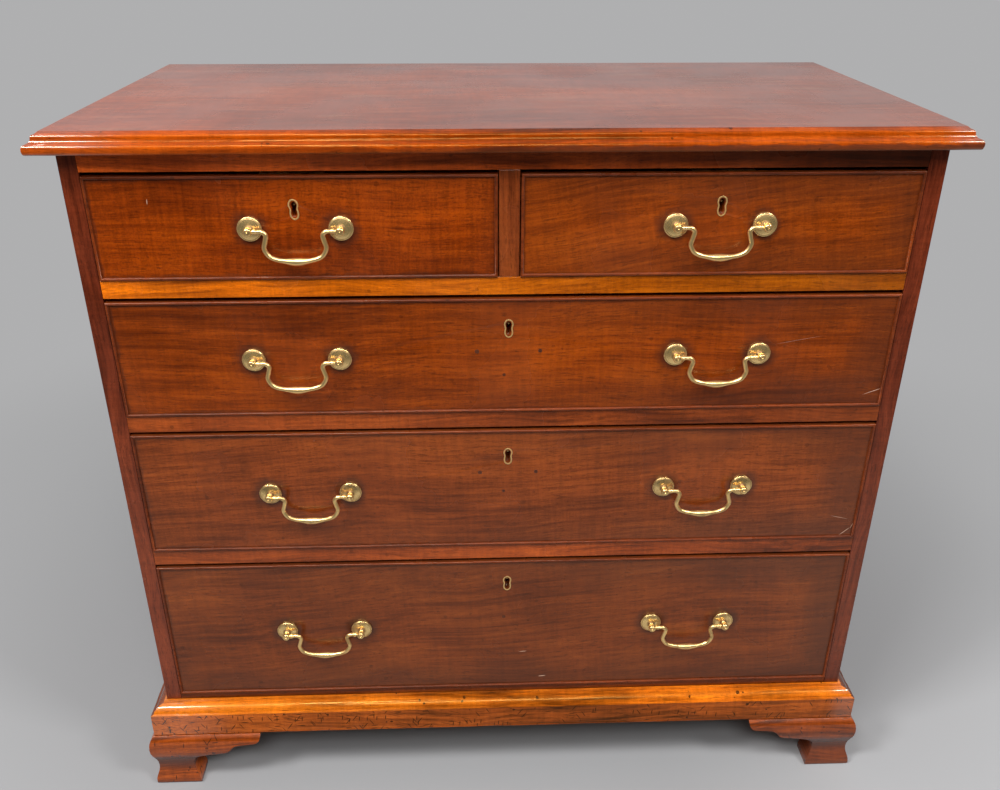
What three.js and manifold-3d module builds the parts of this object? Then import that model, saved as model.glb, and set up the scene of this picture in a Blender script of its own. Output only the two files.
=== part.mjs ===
// A chest of two short and three long graduated drawers on ogee bracket feet.
// Millimetres, Z up. X runs along the front and Y goes back into the case.
// Pieces are drawn from the middle of the case's front face, at the top of the plinth.
// The last group lifts them so that the feet stand on z = 0 under the middle of the chest.
import * as THREE from 'three';
import { mergeVertices } from 'three/addons/utils/BufferGeometryUtils.js';
import Module from 'manifold-3d';

const wasm = await Module();
wasm.setup();

// Fits and cuts
const seam = 0.3;              // left between two pieces wherever one is fitted to the other
const overrun = 3;             // how far a cut runs past the face that it opens
const curveSteps = 3;          // points on each curved stretch of an outline

// Case boards
const caseWidth = 900;
const caseDepth = 460;
const sideThickness = 19;
const backThickness = 10;
const backLap = 10;            // how far the back laps into a rebate in each side
const bottomThickness = 20;
const bottomReveal = 9;        // what the bottom board shows above the plinth

// Rails and dustboards
const topRailThickness = 21;
const topRailDepth = 60;
const railThickness = 20;
const railDepth = 75;
const dustboardThickness = 12;
const partitionThickness = 22;
const housingDepth = 6;        // how far a shelf is let into each side
const housingStop = 15;        // how far behind the front a housing stops

// Drawer openings
const shortOpening = 114.5;
const firstOpening = 141.5;
const secondOpening = 164.5;
const thirdOpening = 208.5;

// Top board
const topThickness = 21.3;
const topOverhang = 22.5;
const topMouldWidth = 14;

// Plinth and feet
const plinthHeight = 46.5;
const plinthOut = 18.5;
const plinthMouldHeight = 14;
const footHeight = 81.5;
const footReach = 121;         // how far each wing runs in from the corner of the case
const footBulgeOut = 26.2;
const footWaistOut = 19.6;
const bracketThickness = 28;
const rearBracketThickness = 18;
const cornerBlock = 18;
const cornerBlockLift = 6;     // the corner block stops this far above the floor

// Drawers
const frontThickness = 22;
const drawerBackGap = 12;      // left behind a closed drawer
const drawerSideGap = 1;
const drawerTopGap = 4;
const beadWidth = 3.2;
const beadProud = 2.5;
const beadRound = 1.2;
const liningThickness = 10;
const liningInset = 0.5;       // a drawer side lies this far inside the end of its front
const liningDrop = 3;          // a drawer side is this much lower than its front
const backDrop = 6;            // a drawer back is this much lower than its sides
const backHousing = 5;         // how far a drawer back is let into its sides
const panelThickness = 6;
const panelRise = 8;           // wood below a drawer's bottom panel
const panelTongue = 5;         // how far the panel lies in its grooves

// Dovetails between a drawer's front and sides
const tailPitch = 38;
const pinWidth = 7;
const lapThickness = 6;        // wood left in front of the tails
const tailSlope = 1 / 6;

// Locks
const keyholeDrop = 35.5;      // from the top of a drawer front to the middle of its keyhole
const keyholeHeight = 17;
const keyholeWidth = 6.4;
const keyholeWaist = 4.6;
const keyholeDepth = 16;
const boltWidth = 22;
const boltThickness = 3.2;
const boltHeight = 22;
const boltSetBack = 10;        // from the drawer's face to the bolt
const boltThrow = 8;
const talonRadius = 4;         // notch in the bolt that the key's bit lifts

// Handles
const longHandleCentre = 233;  // from the middle of a long drawer
const postSpacing = 94;
const bailAxisOut = 12;        // from the drawer's face to the line that the bail turns on
const bailDrop = 32.4;
const neckHalf = 29;
const bellyHalf = 31.8;
const armRadius = 2.4;
const gripRadius = 3.85;
const gripHalf = 15;           // half the length of the swelling in the grip
const spigotRadius = 2;
const spigotLength = 4;
const bailSides = 6;
const bailStepsPerSpan = 2;

// Posts
const roseRadius = 13;
const roseRim = 2.6;
const roseCrown = 4.6;
const neckRadius = 2.9;
const headRadius = 4.8;
const headLength = 8.4;
const buttonRadius = 2.2;
const buttonLength = 2;
const shankRadius = 2.6;
const nutRadius = 5.5;
const nutThickness = 3.5;
const postSides = 10;
const postCurveSteps = 2;

// Places up the case, from the top of the plinth
const thirdFloor = bottomReveal;
const lowerDivider = thirdFloor + thirdOpening;
const secondFloor = lowerDivider + railThickness;
const middleDivider = secondFloor + secondOpening;
const firstFloor = middleDivider + railThickness;
const upperDivider = firstFloor + firstOpening;
const shortFloor = upperDivider + railThickness;
const topRailBottom = shortFloor + shortOpening;
const caseTop = topRailBottom + topRailThickness;

// Places across and through the case
const caseHalf = caseWidth / 2;
const innerHalf = caseHalf - sideThickness;
const partitionHalf = partitionThickness / 2;
const backFace = caseDepth - backThickness;
const drawerLength = backFace - drawerBackGap;

const mahogany = new THREE.MeshStandardMaterial({
  color: 0x6e2f18, roughness: 0.35, metalness: 0, flatShading: true,
});
const polishedMahogany = new THREE.MeshStandardMaterial({
  color: 0xa8501c, roughness: 0.25, metalness: 0, flatShading: true,
});
const lining = new THREE.MeshStandardMaterial({
  color: 0xa8804f, roughness: 0.75, metalness: 0, flatShading: true,
});
const brass = new THREE.MeshStandardMaterial({
  color: 0xc9a559, roughness: 0.3, metalness: 1,
});
const iron = new THREE.MeshStandardMaterial({
  color: 0x5a5650, roughness: 0.5, metalness: 1, flatShading: true,
});

const chest = new THREE.Group();

// Turns a closed geometry into a solid that can be joined and cut.
function solidOf(geometry) {
  const shell = geometry.clone();
  shell.deleteAttribute('normal');
  shell.deleteAttribute('uv');
  const merged = mergeVertices(shell);
  const corners = merged.index.array;
  const faces = [];
  for (let i = 0; i < corners.length; i += 3) {
    const [a, b, c] = [corners[i], corners[i + 1], corners[i + 2]];
    if (a !== b && b !== c && c !== a) faces.push(a, b, c);
  }
  return new wasm.Manifold(new wasm.Mesh({
    numProp: 3,
    vertProperties: merged.attributes.position.array,
    triVerts: new Uint32Array(faces),
  }));
}

// Adds a finished piece to the chest under the name that a maker would call it.
function addPiece(name, solid, material) {
  const { vertProperties, triVerts } = solid.getMesh();
  const geometry = new THREE.BufferGeometry();
  geometry.setAttribute('position', new THREE.BufferAttribute(new Float32Array(vertProperties), 3));
  geometry.setIndex(new THREE.BufferAttribute(new Uint32Array(triVerts), 1));
  geometry.computeVertexNormals();
  const piece = new THREE.Mesh(geometry, material);
  piece.name = name;
  chest.add(piece);
}

// A squared board between two corners.
function board([x0, x1], [y0, y1], [z0, z1]) {
  const geometry = new THREE.BoxGeometry(x1 - x0, y1 - y0, z1 - z0);
  geometry.translate((x0 + x1) / 2, (y0 + y1) / 2, (z0 + z1) / 2);
  return solidOf(geometry);
}

function shapeOf(points) {
  return new THREE.Shape(points.map(([u, v]) => new THREE.Vector2(u, v)));
}

const [alongX, alongY, alongZ] = [[1, 0, 0], [0, 1, 0], [0, 0, 1]].map((axis) => new THREE.Vector3(...axis));
const lengthwise = new THREE.Matrix4().makeBasis(alongY, alongZ, alongX);
const depthwise = new THREE.Matrix4().makeBasis(alongX, alongZ, alongY.clone().negate());

// An outline drawn in Y and Z, run along X.
function runAlongX(points, [x0, x1]) {
  const geometry = new THREE.ExtrudeGeometry(shapeOf(points), { depth: x1 - x0, bevelEnabled: false });
  geometry.applyMatrix4(lengthwise).translate(x0, 0, 0);
  return solidOf(geometry);
}

// An outline drawn in X and Z, run along Y.
function runAlongY(points, [y0, y1]) {
  const geometry = new THREE.ExtrudeGeometry(shapeOf(points), { depth: y1 - y0, bevelEnabled: false });
  geometry.applyMatrix4(depthwise).translate(0, y1, 0);
  return solidOf(geometry);
}

// Draws an outline from strokes: one point is a straight line, two or three are a curve's.
// Each point is a pair of shares, which place turns into real lengths.
function strokeLine(strokes, place) {
  const path = new THREE.Path();
  const [[start], ...rest] = strokes;
  path.moveTo(...place(start));
  for (const stroke of rest) {
    const ends = stroke.map(place).flat();
    if (stroke.length === 1) path.lineTo(...ends);
    if (stroke.length === 2) path.quadraticCurveTo(...ends);
    if (stroke.length > 2) path.bezierCurveTo(...ends);
  }
  return path.getPoints(curveSteps).map(({ x, y }) => [x, y]);
}

// A block as wide and deep as the case, moulded on its front and both ends and flat behind.
// The edge lists how far out and how high each point of the moulding lies, from the top down.
function mouldedBlock(edge) {
  const reach = Math.max(...edge.map(([out]) => out));
  const right = edge.map(([out, z]) => [caseHalf + out, z]).reverse();
  const left = edge.map(([out, z]) => [-caseHalf - out, z]);
  const front = edge.map(([out, z]) => [-out, z]);
  const lastZ = edge[edge.length - 1][1];
  const firstZ = edge[0][1];
  const across = runAlongY([...left, ...right], [-reach - overrun, caseDepth]);
  const deep = runAlongX(
    [...front, [caseDepth + overrun, lastZ], [caseDepth + overrun, firstZ]],
    [-caseHalf - reach - overrun, caseHalf + reach + overrun],
  );
  return across.intersect(deep);
}

// Top board: a chamfer, a thumb, a shallow hollow and a round bead, worked on the front and both ends.
const topEdgeShares = [
  [[0, 0]],
  [[0.2, 0.11]],
  [[0.4, 0.11], [0.44, 0.25]],
  [[0.45, 0.42], [0.64, 0.48]],
  [[0.92, 0.53], [1, 0.6], [1, 0.74]],
  [[1, 1], [0.79, 1]],
];

function topBoard() {
  const edge = strokeLine(topEdgeShares, ([out, down]) => [
    topOverhang - topMouldWidth * (1 - out),
    caseTop + topThickness * (1 - down),
  ]);
  addPiece('top_board', mouldedBlock(edge), polishedMahogany);
}

// Plinth: a fillet and an ovolo over a flat face, mitred round the front and both ends.
const plinthEdgeShares = [
  [[0, 0]],
  [[0.17, 0]],
  [[0.2, 0.22]],
  [[0.66, 0.26], [0.84, 0.88]],
  [[1, 0.92]],
];

function plinth() {
  const edge = strokeLine(plinthEdgeShares, ([out, down]) => [plinthOut * out, -plinthMouldHeight * down]);
  const block = mouldedBlock([...edge, [plinthOut, -plinthHeight]]);
  const caseSpace = board(
    [-caseHalf - seam, caseHalf + seam],
    [-seam, caseDepth + overrun],
    [-plinthHeight - overrun, overrun],
  );
  addPiece('plinth', block.subtract(caseSpace), polishedMahogany);
}

// Feet: an ogee face, cut below to a stepped wing and a hollowed foot.
// Out shares run from the waist to the bulge; down shares run from the plinth to the floor.
const ogeeShares = [
  [[-0.1, 0]],
  [[0.4, 0.03], [1, 0.08], [1, 0.24]],
  [[1, 0.42], [0, 0.46], [0, 0.64]],
  [[0, 0.77], [0.8, 0.82], [0.8, 0.93]],
  [[0.8, 1], [0.6, 1]],
];
const wingShares = [
  [[1, 0]],
  [[1, 0.14], [0.926, 0.16]],
  [[0.745, 0.185]],
  [[0.675, 0.195], [0.67, 0.31], [0.605, 0.345]],
  [[0.36, 0.41]],
  [[0.265, 0.44], [0.225, 0.52], [0.225, 0.61]],
  [[0.225, 0.75], [0.285, 0.84], [0.285, 0.94]],
  [[0.285, 1]],
];
const rearWingShares = [
  [[0.62, 0]],
  [[0.62, 0.25]],
  [[0.32, 1]],
];
const footTop = -plinthHeight - seam;
const footBottom = footTop - footHeight;

function feet() {
  const ogee = strokeLine(ogeeShares, ([out, down]) => [
    footWaistOut + (footBulgeOut - footWaistOut) * out,
    footTop - footHeight * down,
  ]);
  const block = mouldedBlock(ogee);
  const outer = footBulgeOut + overrun;
  // An elevation of a bracket: in is measured from the case's face, and turned for the side it is on.
  const elevation = (shares, turn) => [
    ...strokeLine(shares, ([inward, down]) => [turn(inward * footReach), footTop - footHeight * down]),
    [turn(-outer), footBottom],
    [turn(-outer), footTop],
  ];
  const bracketBack = plinthOut - bracketThickness;
  for (const [side, sign] of [['left', -1], ['right', 1]]) {
    const acrossCase = (inward) => sign * (caseHalf - inward);
    const band = (near, far) => [sign * near, sign * far].sort((a, b) => a - b);
    const sideBand = band(caseHalf + bracketBack, caseHalf + outer);
    const blockBand = band(caseHalf + bracketBack - cornerBlock, caseHalf + bracketBack + overrun);
    const blockHeights = [footBottom + cornerBlockLift, footTop];

    const frontBracket = runAlongY(elevation(wingShares, acrossCase), [-outer, -bracketBack]);
    const sideBracket = runAlongX(elevation(wingShares, (inward) => inward), sideBand);
    const frontBlock = board(blockBand, [-bracketBack - overrun, -bracketBack + cornerBlock], blockHeights);
    const frontFoot = block.intersect(frontBracket.add(sideBracket)).add(frontBlock);
    addPiece(`front_${side}_foot`, frontFoot, polishedMahogany);

    const rearFace = caseDepth - rearBracketThickness;
    const rearBracket = runAlongY(elevation(rearWingShares, acrossCase), [rearFace, caseDepth]);
    const rearSide = runAlongX(elevation(wingShares, (inward) => caseDepth - inward), sideBand);
    const rearBlock = board(blockBand, [rearFace - cornerBlock, rearFace + overrun], blockHeights);
    const rearFoot = block.intersect(rearBracket.add(rearSide)).add(rearBlock);
    addPiece(`rear_${side}_foot`, rearFoot, polishedMahogany);
  }
}

// A divider is a drawer rail in front and a thinner dustboard behind, level on top.
function dividerSection(bottom, growth, front) {
  const top = bottom + railThickness;
  return [
    [front, bottom - growth],
    [railDepth + growth, bottom - growth],
    [railDepth + growth, top - dustboardThickness - growth],
    [backFace + growth, top - dustboardThickness - growth],
    [backFace + growth, top + growth],
    [front, top + growth],
  ];
}

function shelfSection(bottom, thickness, growth, front, back) {
  return [
    [front, bottom - growth],
    [back + growth, bottom - growth],
    [back + growth, bottom + thickness + growth],
    [front, bottom + thickness + growth],
  ];
}

// Everything let into the sides: each section is grown by the seam to cut its housing.
const bottomUnder = bottomReveal - bottomThickness;
const rearRailFront = backFace - seam - topRailDepth;
const shelves = [
  (growth, front) => dividerSection(upperDivider, growth, front),
  (growth, front) => dividerSection(middleDivider, growth, front),
  (growth, front) => dividerSection(lowerDivider, growth, front),
  (growth, front) => shelfSection(bottomUnder, bottomThickness, growth, front, backFace),
  (growth, front) => shelfSection(topRailBottom, topRailThickness, growth, front, topRailDepth),
];
const tongueHalf = innerHalf + housingDepth - seam;
const shoulderHalf = innerHalf - seam;

function sides() {
  const sideTop = caseTop - seam;
  for (const [side, sign] of [['left', -1], ['right', 1]]) {
    const band = (near, far) => [sign * near, sign * far].sort((a, b) => a - b);
    const cuts = shelves.map((section) => (
      runAlongX(section(seam, housingStop - seam), band(innerHalf - overrun, innerHalf + housingDepth))
    ));
    const rearRailCut = board(
      band(innerHalf - overrun, innerHalf + housingDepth),
      [rearRailFront - seam, caseDepth + overrun],
      [topRailBottom - seam, caseTop + overrun],
    );
    const rebate = board(
      band(innerHalf - overrun, innerHalf + backLap),
      [backFace, caseDepth + overrun],
      [-plinthHeight - overrun, caseTop + overrun],
    );
    const plank = board(band(innerHalf, caseHalf), [0, caseDepth], [-plinthHeight, sideTop]);
    const shaped = [...cuts, rearRailCut, rebate].reduce((wood, cut) => wood.subtract(cut), plank);
    addPiece(`${side}_side`, shaped, mahogany);
  }
}

// A shelf fills the case between the sides and has a tongue at each end, stopped behind its front.
function shelfPiece(section) {
  const middle = runAlongX(section(0, 0), [-shoulderHalf, shoulderHalf]);
  const tongues = runAlongX(section(0, housingStop), [-tongueHalf, tongueHalf]);
  return middle.add(tongues).subtract(board(
    [-tongueHalf - overrun, tongueHalf + overrun],
    [backFace - seam, caseDepth],
    [bottomUnder - overrun, caseTop + overrun],
  ));
}

// The mortise that a lock's bolt rises into, above the drawer that it locks.
function boltMortise(centre, railUnder) {
  return board(
    [centre - boltWidth / 2 - 2 * seam, centre + boltWidth / 2 + 2 * seam],
    [boltSetBack - seam, boltSetBack + boltThickness + seam],
    [railUnder - overrun, railUnder + boltThrow - drawerTopGap + seam],
  );
}

// Each drawer: where its opening is and where its handles are.
const shortWidth = innerHalf - partitionHalf;
const shortCentre = partitionHalf + shortWidth / 2;
const longWidth = 2 * innerHalf;
const drawers = [
  { name: 'upper_left', centre: -shortCentre, width: shortWidth, floor: shortFloor, opening: shortOpening, short: true },
  { name: 'upper_right', centre: shortCentre, width: shortWidth, floor: shortFloor, opening: shortOpening, short: true },
  { name: 'first_long', centre: 0, width: longWidth, floor: firstFloor, opening: firstOpening },
  { name: 'second_long', centre: 0, width: longWidth, floor: secondFloor, opening: secondOpening },
  { name: 'third_long', centre: 0, width: longWidth, floor: thirdFloor, opening: thirdOpening },
];

function rails() {
  const [upper, middle, lower, bottom, top] = shelves.map(shelfPiece);
  const shortMortises = drawers.filter(({ short }) => short)
    .map(({ centre }) => boltMortise(centre, topRailBottom));
  const topCut = board(
    [-tongueHalf - overrun, tongueHalf + overrun],
    [-overrun, topRailDepth + overrun],
    [caseTop - seam, caseTop + overrun],
  );
  addPiece('top_rail', [...shortMortises, topCut].reduce((wood, cut) => wood.subtract(cut), top), mahogany);
  addPiece('upper_divider', upper.subtract(boltMortise(0, upperDivider)), mahogany);
  addPiece('middle_divider', middle.subtract(boltMortise(0, middleDivider)), mahogany);
  addPiece('lower_divider', lower.subtract(boltMortise(0, lowerDivider)), mahogany);
  addPiece('bottom_board', bottom, mahogany);
  addPiece('rear_top_rail', board(
    [-tongueHalf, tongueHalf],
    [rearRailFront, backFace - seam],
    [topRailBottom, caseTop - seam],
  ), lining);
}

// The partition runs the full depth between the short drawers, notched round both top rails.
function partition() {
  const under = shortFloor + seam;
  const railNotch = topRailBottom - seam;
  const over = caseTop - seam;
  addPiece('short_drawer_partition', runAlongX([
    [0, under],
    [backFace - seam, under],
    [backFace - seam, railNotch],
    [rearRailFront - seam, railNotch],
    [rearRailFront - seam, over],
    [topRailDepth + seam, over],
    [topRailDepth + seam, railNotch],
    [0, railNotch],
  ], [-partitionHalf, partitionHalf]), mahogany);
}

function back() {
  const half = innerHalf + backLap - seam;
  addPiece('back_panel', board([-half, half], [backFace + seam, caseDepth], [bottomUnder, caseTop - seam]), lining);
}

// One dovetail of a drawer side, seen from the side of the drawer.
function tailOutline(middle, narrowHalf, growth) {
  const tip = lapThickness + seam - growth;
  const root = frontThickness + seam + overrun;
  const spread = tailSlope * (frontThickness - lapThickness);
  return [
    [root, middle - narrowHalf - growth],
    [root, middle + narrowHalf + growth],
    [frontThickness, middle + narrowHalf + growth],
    [tip, middle + narrowHalf + spread + growth],
    [tip, middle - narrowHalf - spread - growth],
    [frontThickness, middle - narrowHalf - growth],
  ];
}

// The outline of a keyhole: a round eye, a waist and a rounded foot, as shares of its size.
const keyholeShares = [
  [[-1, 0.19]],
  [[-1, 0.46], [0, 0.5]],
  [[1, 0.46], [1, 0.19]],
];
const keyholeFootShare = 0.92;
const keyholeWaistShare = 0.02;

function keyhole(centre, middle) {
  const half = keyholeWidth / 2;
  const up = ([across, height]) => [centre + across * half, middle + height * keyholeHeight];
  const down = ([across, height]) => [centre + across * half * keyholeFootShare, middle - height * keyholeHeight];
  const waist = middle + keyholeWaistShare * keyholeHeight;
  const outline = [
    ...strokeLine(keyholeShares, up),
    [centre + keyholeWaist / 2, waist],
    ...strokeLine(keyholeShares, down).reverse(),
    [centre - keyholeWaist / 2, waist],
  ];
  return runAlongY(outline.reverse(), [-beadProud - overrun, keyholeDepth]);
}

// A drawer's cock bead: a rounded strip round the edge of the front, standing proud of it.
function cockBead([x0, x1], [z0, z1]) {
  const rectangle = (inset) => [
    [x0 + inset, z0 + inset], [x1 - inset, z0 + inset], [x1 - inset, z1 - inset], [x0 + inset, z1 - inset],
  ];
  const ring = shapeOf(rectangle(0));
  ring.holes.push(shapeOf(rectangle(beadWidth)));
  const geometry = new THREE.ExtrudeGeometry(ring, {
    depth: 2 * (beadProud - beadRound),
    bevelThickness: beadRound,
    bevelSize: beadRound,
    bevelOffset: -beadRound,
    bevelSegments: 2,
  });
  geometry.translate(0, 0, beadRound - beadProud).applyMatrix4(depthwise);
  return solidOf(geometry);
}

// The bolt of a drawer lock: a flat bar with a notch below that the key's bit lifts.
function lockBolt(centre, top) {
  const outline = new THREE.Shape();
  const half = boltWidth / 2;
  outline.moveTo(centre - half, top - boltHeight);
  outline.lineTo(centre - talonRadius, top - boltHeight);
  outline.absarc(centre, top - boltHeight, talonRadius, Math.PI, 0, true);
  outline.lineTo(centre + half, top - boltHeight);
  outline.lineTo(centre + half, top);
  outline.lineTo(centre - half, top);
  const geometry = new THREE.ExtrudeGeometry(outline, {
    depth: boltThickness, bevelEnabled: false, curveSegments: 2 * curveSteps,
  });
  geometry.applyMatrix4(depthwise).translate(0, boltSetBack + boltThickness, 0);
  return solidOf(geometry);
}

// A handle post turned as one piece: button, knob, neck, domed rose, shank and nut.
// It is turned about the Y axis, with its rose against the drawer's face at y = 0.
function postBlank() {
  const knobFront = bailAxisOut + headLength / 2;
  const knobBack = bailAxisOut - headLength / 2;
  const tip = knobFront + buttonLength;
  const nutFace = frontThickness + seam;
  const profile = new THREE.Path();
  profile.moveTo(0, -tip);
  profile.quadraticCurveTo(buttonRadius, -tip, buttonRadius, -knobFront);
  profile.quadraticCurveTo(headRadius, -knobFront, headRadius, -bailAxisOut);
  profile.quadraticCurveTo(headRadius, -knobBack, neckRadius, -knobBack);
  profile.lineTo(neckRadius, -roseCrown);
  profile.quadraticCurveTo(roseRadius - roseRim, -roseCrown, roseRadius, -roseRim);
  profile.lineTo(roseRadius, -seam);
  profile.lineTo(shankRadius, -seam);
  profile.lineTo(shankRadius, nutFace);
  profile.lineTo(nutRadius, nutFace);
  profile.lineTo(nutRadius, nutFace + nutThickness);
  profile.lineTo(0, nutFace + nutThickness);
  return solidOf(new THREE.LatheGeometry(profile.getPoints(postCurveSteps), postSides));
}
const turnedPost = postBlank();

// A post with its knob bored on the side that faces the bail.
function handlePost(x, z, towardsBail) {
  const boreDepth = spigotLength + seam;
  const bore = new THREE.CylinderGeometry(
    spigotRadius + seam, spigotRadius + seam, boreDepth + overrun, postSides,
  );
  bore.rotateZ(Math.PI / 2);
  bore.translate(towardsBail * (headRadius - boreDepth + (boreDepth + overrun) / 2), -bailAxisOut, 0);
  return turnedPost.subtract(solidOf(bore)).translate([x, 0, z]);
}

// The bail's centre line in X and Z, from the right spigot's end to the middle of the grip.
// Across shares run from the bail's middle to the post, down shares from its axis to the grip.
const bailNeckShare = 0.13;
const bailBellyShare = 0.56;
const bailTurnShares = [[0.8, 0], [0.69, 0.01]];
const bailBowlShares = [[0.61, 0.82], [0.46, 0.945], [0.26, 0.99], [0, 1]];

function bailCurve() {
  const postHalf = postSpacing / 2;
  const place = ([across, down]) => [across * postHalf, -down * bailDrop];
  const right = [
    [postHalf - headRadius + spigotLength, 0],
    ...bailTurnShares.map(place),
    [neckHalf, -bailNeckShare * bailDrop],
    [(neckHalf + bellyHalf) / 2, -(bailNeckShare + bailBellyShare) / 2 * bailDrop],
    [bellyHalf, -bailBellyShare * bailDrop],
    ...bailBowlShares.map(place),
  ];
  const left = right.slice(0, -1).reverse().map(([x, z]) => [-x, z]);
  return new THREE.CatmullRomCurve3([...right, ...left].map(([x, z]) => new THREE.Vector3(x, 0, z)));
}

// The bar is thin where it turns in the posts, fuller in the arms and swells in the grip.
function bailRadius({ x, z }) {
  const fromMiddle = Math.abs(x);
  const thinning = THREE.MathUtils.smoothstep(
    fromMiddle, neckHalf + 2 * armRadius, postSpacing / 2 - headRadius,
  );
  if (fromMiddle > gripHalf || z > -bailDrop / 2) {
    return THREE.MathUtils.lerp(armRadius, spigotRadius, thinning);
  }
  const swell = (1 + Math.cos(Math.PI * fromMiddle / gripHalf)) / 2;
  return armRadius + (gripRadius - armRadius) * swell;
}

// A closed round bar along a curve that lies in the XZ plane, with a ring of corners at each step.
function roundBar(curve, radiusAt) {
  const steps = (curve.points.length - 1) * bailStepsPerSpan;
  const places = [];
  const faces = [];
  for (let i = 0; i <= steps; i += 1) {
    const point = curve.getPoint(i / steps);
    const tangent = curve.getTangent(i / steps);
    const outward = new THREE.Vector3(tangent.z, 0, -tangent.x);
    const radius = radiusAt(point);
    for (let k = 0; k < bailSides; k += 1) {
      const angle = (k + 0.5) / bailSides * 2 * Math.PI;
      places.push(point.clone()
        .addScaledVector(outward, radius * Math.cos(angle))
        .addScaledVector(alongY, radius * Math.sin(angle)));
    }
  }
  for (let i = 0; i < steps; i += 1) {
    for (let k = 0; k < bailSides; k += 1) {
      const a = i * bailSides + k;
      const b = i * bailSides + (k + 1) % bailSides;
      faces.push(a, b, b + bailSides, a, b + bailSides, a + bailSides);
    }
  }
  const last = steps * bailSides;
  for (let k = 1; k < bailSides - 1; k += 1) {
    faces.push(0, k + 1, k, last, last + k, last + k + 1);
  }
  const geometry = new THREE.BufferGeometry().setFromPoints(places);
  geometry.setIndex(faces);
  return solidOf(geometry);
}
const castBail = roundBar(bailCurve(), bailRadius);

// One handle: two posts through the drawer front and the bail that hangs between them.
function handle(name, x, z) {
  addPiece(`${name}_left_post`, handlePost(x - postSpacing / 2, z, 1), brass);
  addPiece(`${name}_right_post`, handlePost(x + postSpacing / 2, z, -1), brass);
  addPiece(`${name}_bail`, castBail.translate([x, -bailAxisOut, z]), brass);
}

// The drawer box behind the front: two sides with dovetails, and the back between them.
function drawerBox(centre, half, floor, liningTop, tails) {
  const outside = half - liningInset;
  const inside = outside - liningThickness;
  const panelTop = floor + panelRise + panelThickness;
  const walls = [-1, 1].map((sign) => {
    const band = [centre + sign * outside, centre + sign * inside].sort((a, b) => a - b);
    const side = board(band, [frontThickness + seam, drawerLength], [floor, liningTop]);
    return tails.map((outline) => runAlongX(outline, band)).reduce((wood, tail) => wood.add(tail), side);
  });
  const backBoard = board(
    [centre - inside - backHousing, centre + inside + backHousing],
    [drawerLength - liningThickness, drawerLength],
    [panelTop + seam, liningTop - backDrop],
  );
  return walls[0].add(walls[1]).add(backBoard);
}

function drawer({ name, centre, width, floor: openingFloor, opening, short }) {
  const half = width / 2 - drawerSideGap;
  const floor = openingFloor + seam;
  const top = openingFloor + opening - drawerTopGap;
  const liningTop = top - liningDrop;
  const outside = half - liningInset;
  const inside = outside - liningThickness;
  const span = [centre - half, centre + half];
  const keyholeMiddle = top - keyholeDrop;
  const handleHeight = (floor + top) / 2;
  const handleCentres = short ? { handle: centre } : {
    left_handle: centre - longHandleCentre,
    right_handle: centre + longHandleCentre,
  };

  const tailCount = Math.max(2, Math.round((liningTop - floor) / tailPitch));
  const pitch = (liningTop - floor) / tailCount;
  const narrowHalf = (pitch - pinWidth) / 2 - tailSlope * (frontThickness - lapThickness);
  const tailMiddles = Array.from({ length: tailCount }, (_, i) => floor + (i + 0.5) * pitch);
  const tails = tailMiddles.map((middle) => tailOutline(middle, narrowHalf, 0));

  const panelHalf = inside + panelTongue - seam;
  const panelFront = frontThickness - panelTongue;
  const panel = (growth) => board(
    [centre - panelHalf - growth, centre + panelHalf + growth],
    [panelFront - growth, drawerLength + (growth > 0 ? overrun : 0)],
    [floor + panelRise - growth, floor + panelRise + panelThickness + growth],
  );
  const groove = panel(seam);

  const cuts = [groove, keyhole(centre, keyholeMiddle)];
  for (const sign of [-1, 1]) {
    const band = [centre + sign * (inside - seam), centre + sign * (half + overrun)].sort((a, b) => a - b);
    cuts.push(...tailMiddles.map((middle) => runAlongX(tailOutline(middle, narrowHalf, seam), band)));
  }
  cuts.push(board(
    [centre - boltWidth / 2 - seam, centre + boltWidth / 2 + seam],
    [boltSetBack - seam, boltSetBack + boltThickness + seam],
    [top - boltHeight - seam, top + overrun],
  ));
  for (const x of Object.values(handleCentres)) {
    for (const sign of [-1, 1]) {
      const hole = new THREE.CylinderGeometry(
        shankRadius + seam, shankRadius + seam, frontThickness + 2 * overrun, postSides,
      );
      hole.translate(x + sign * postSpacing / 2, frontThickness / 2, handleHeight);
      cuts.push(solidOf(hole));
    }
  }
  const face = board(span, [0, frontThickness], [floor, top]).add(cockBead(span, [floor, top]));
  addPiece(`${name}_drawer_front`, cuts.reduce((wood, cut) => wood.subtract(cut), face), mahogany);
  addPiece(`${name}_drawer_box`, drawerBox(centre, half, floor, liningTop, tails).subtract(groove), lining);
  addPiece(`${name}_drawer_bottom`, panel(0), lining);
  addPiece(`${name}_lock_bolt`, lockBolt(centre, top), iron);
  for (const [which, x] of Object.entries(handleCentres)) handle(`${name}_${which}`, x, handleHeight);
}

topBoard();
sides();
rails();
partition();
back();
plinth();
feet();
drawers.forEach(drawer);

// Stand the chest on the floor, with the middle of its plan at the origin.
chest.position.set(0, (footBulgeOut - caseDepth) / 2, -footBottom);
const stand = new THREE.Group();
stand.add(chest);

export default stand;
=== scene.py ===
# An old mahogany chest of drawers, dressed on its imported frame. Metres, Z up, front towards -Y.
import functools
import itertools
import math

import bmesh
import bpy
from mathutils import Matrix, Vector, geometry, noise


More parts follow.
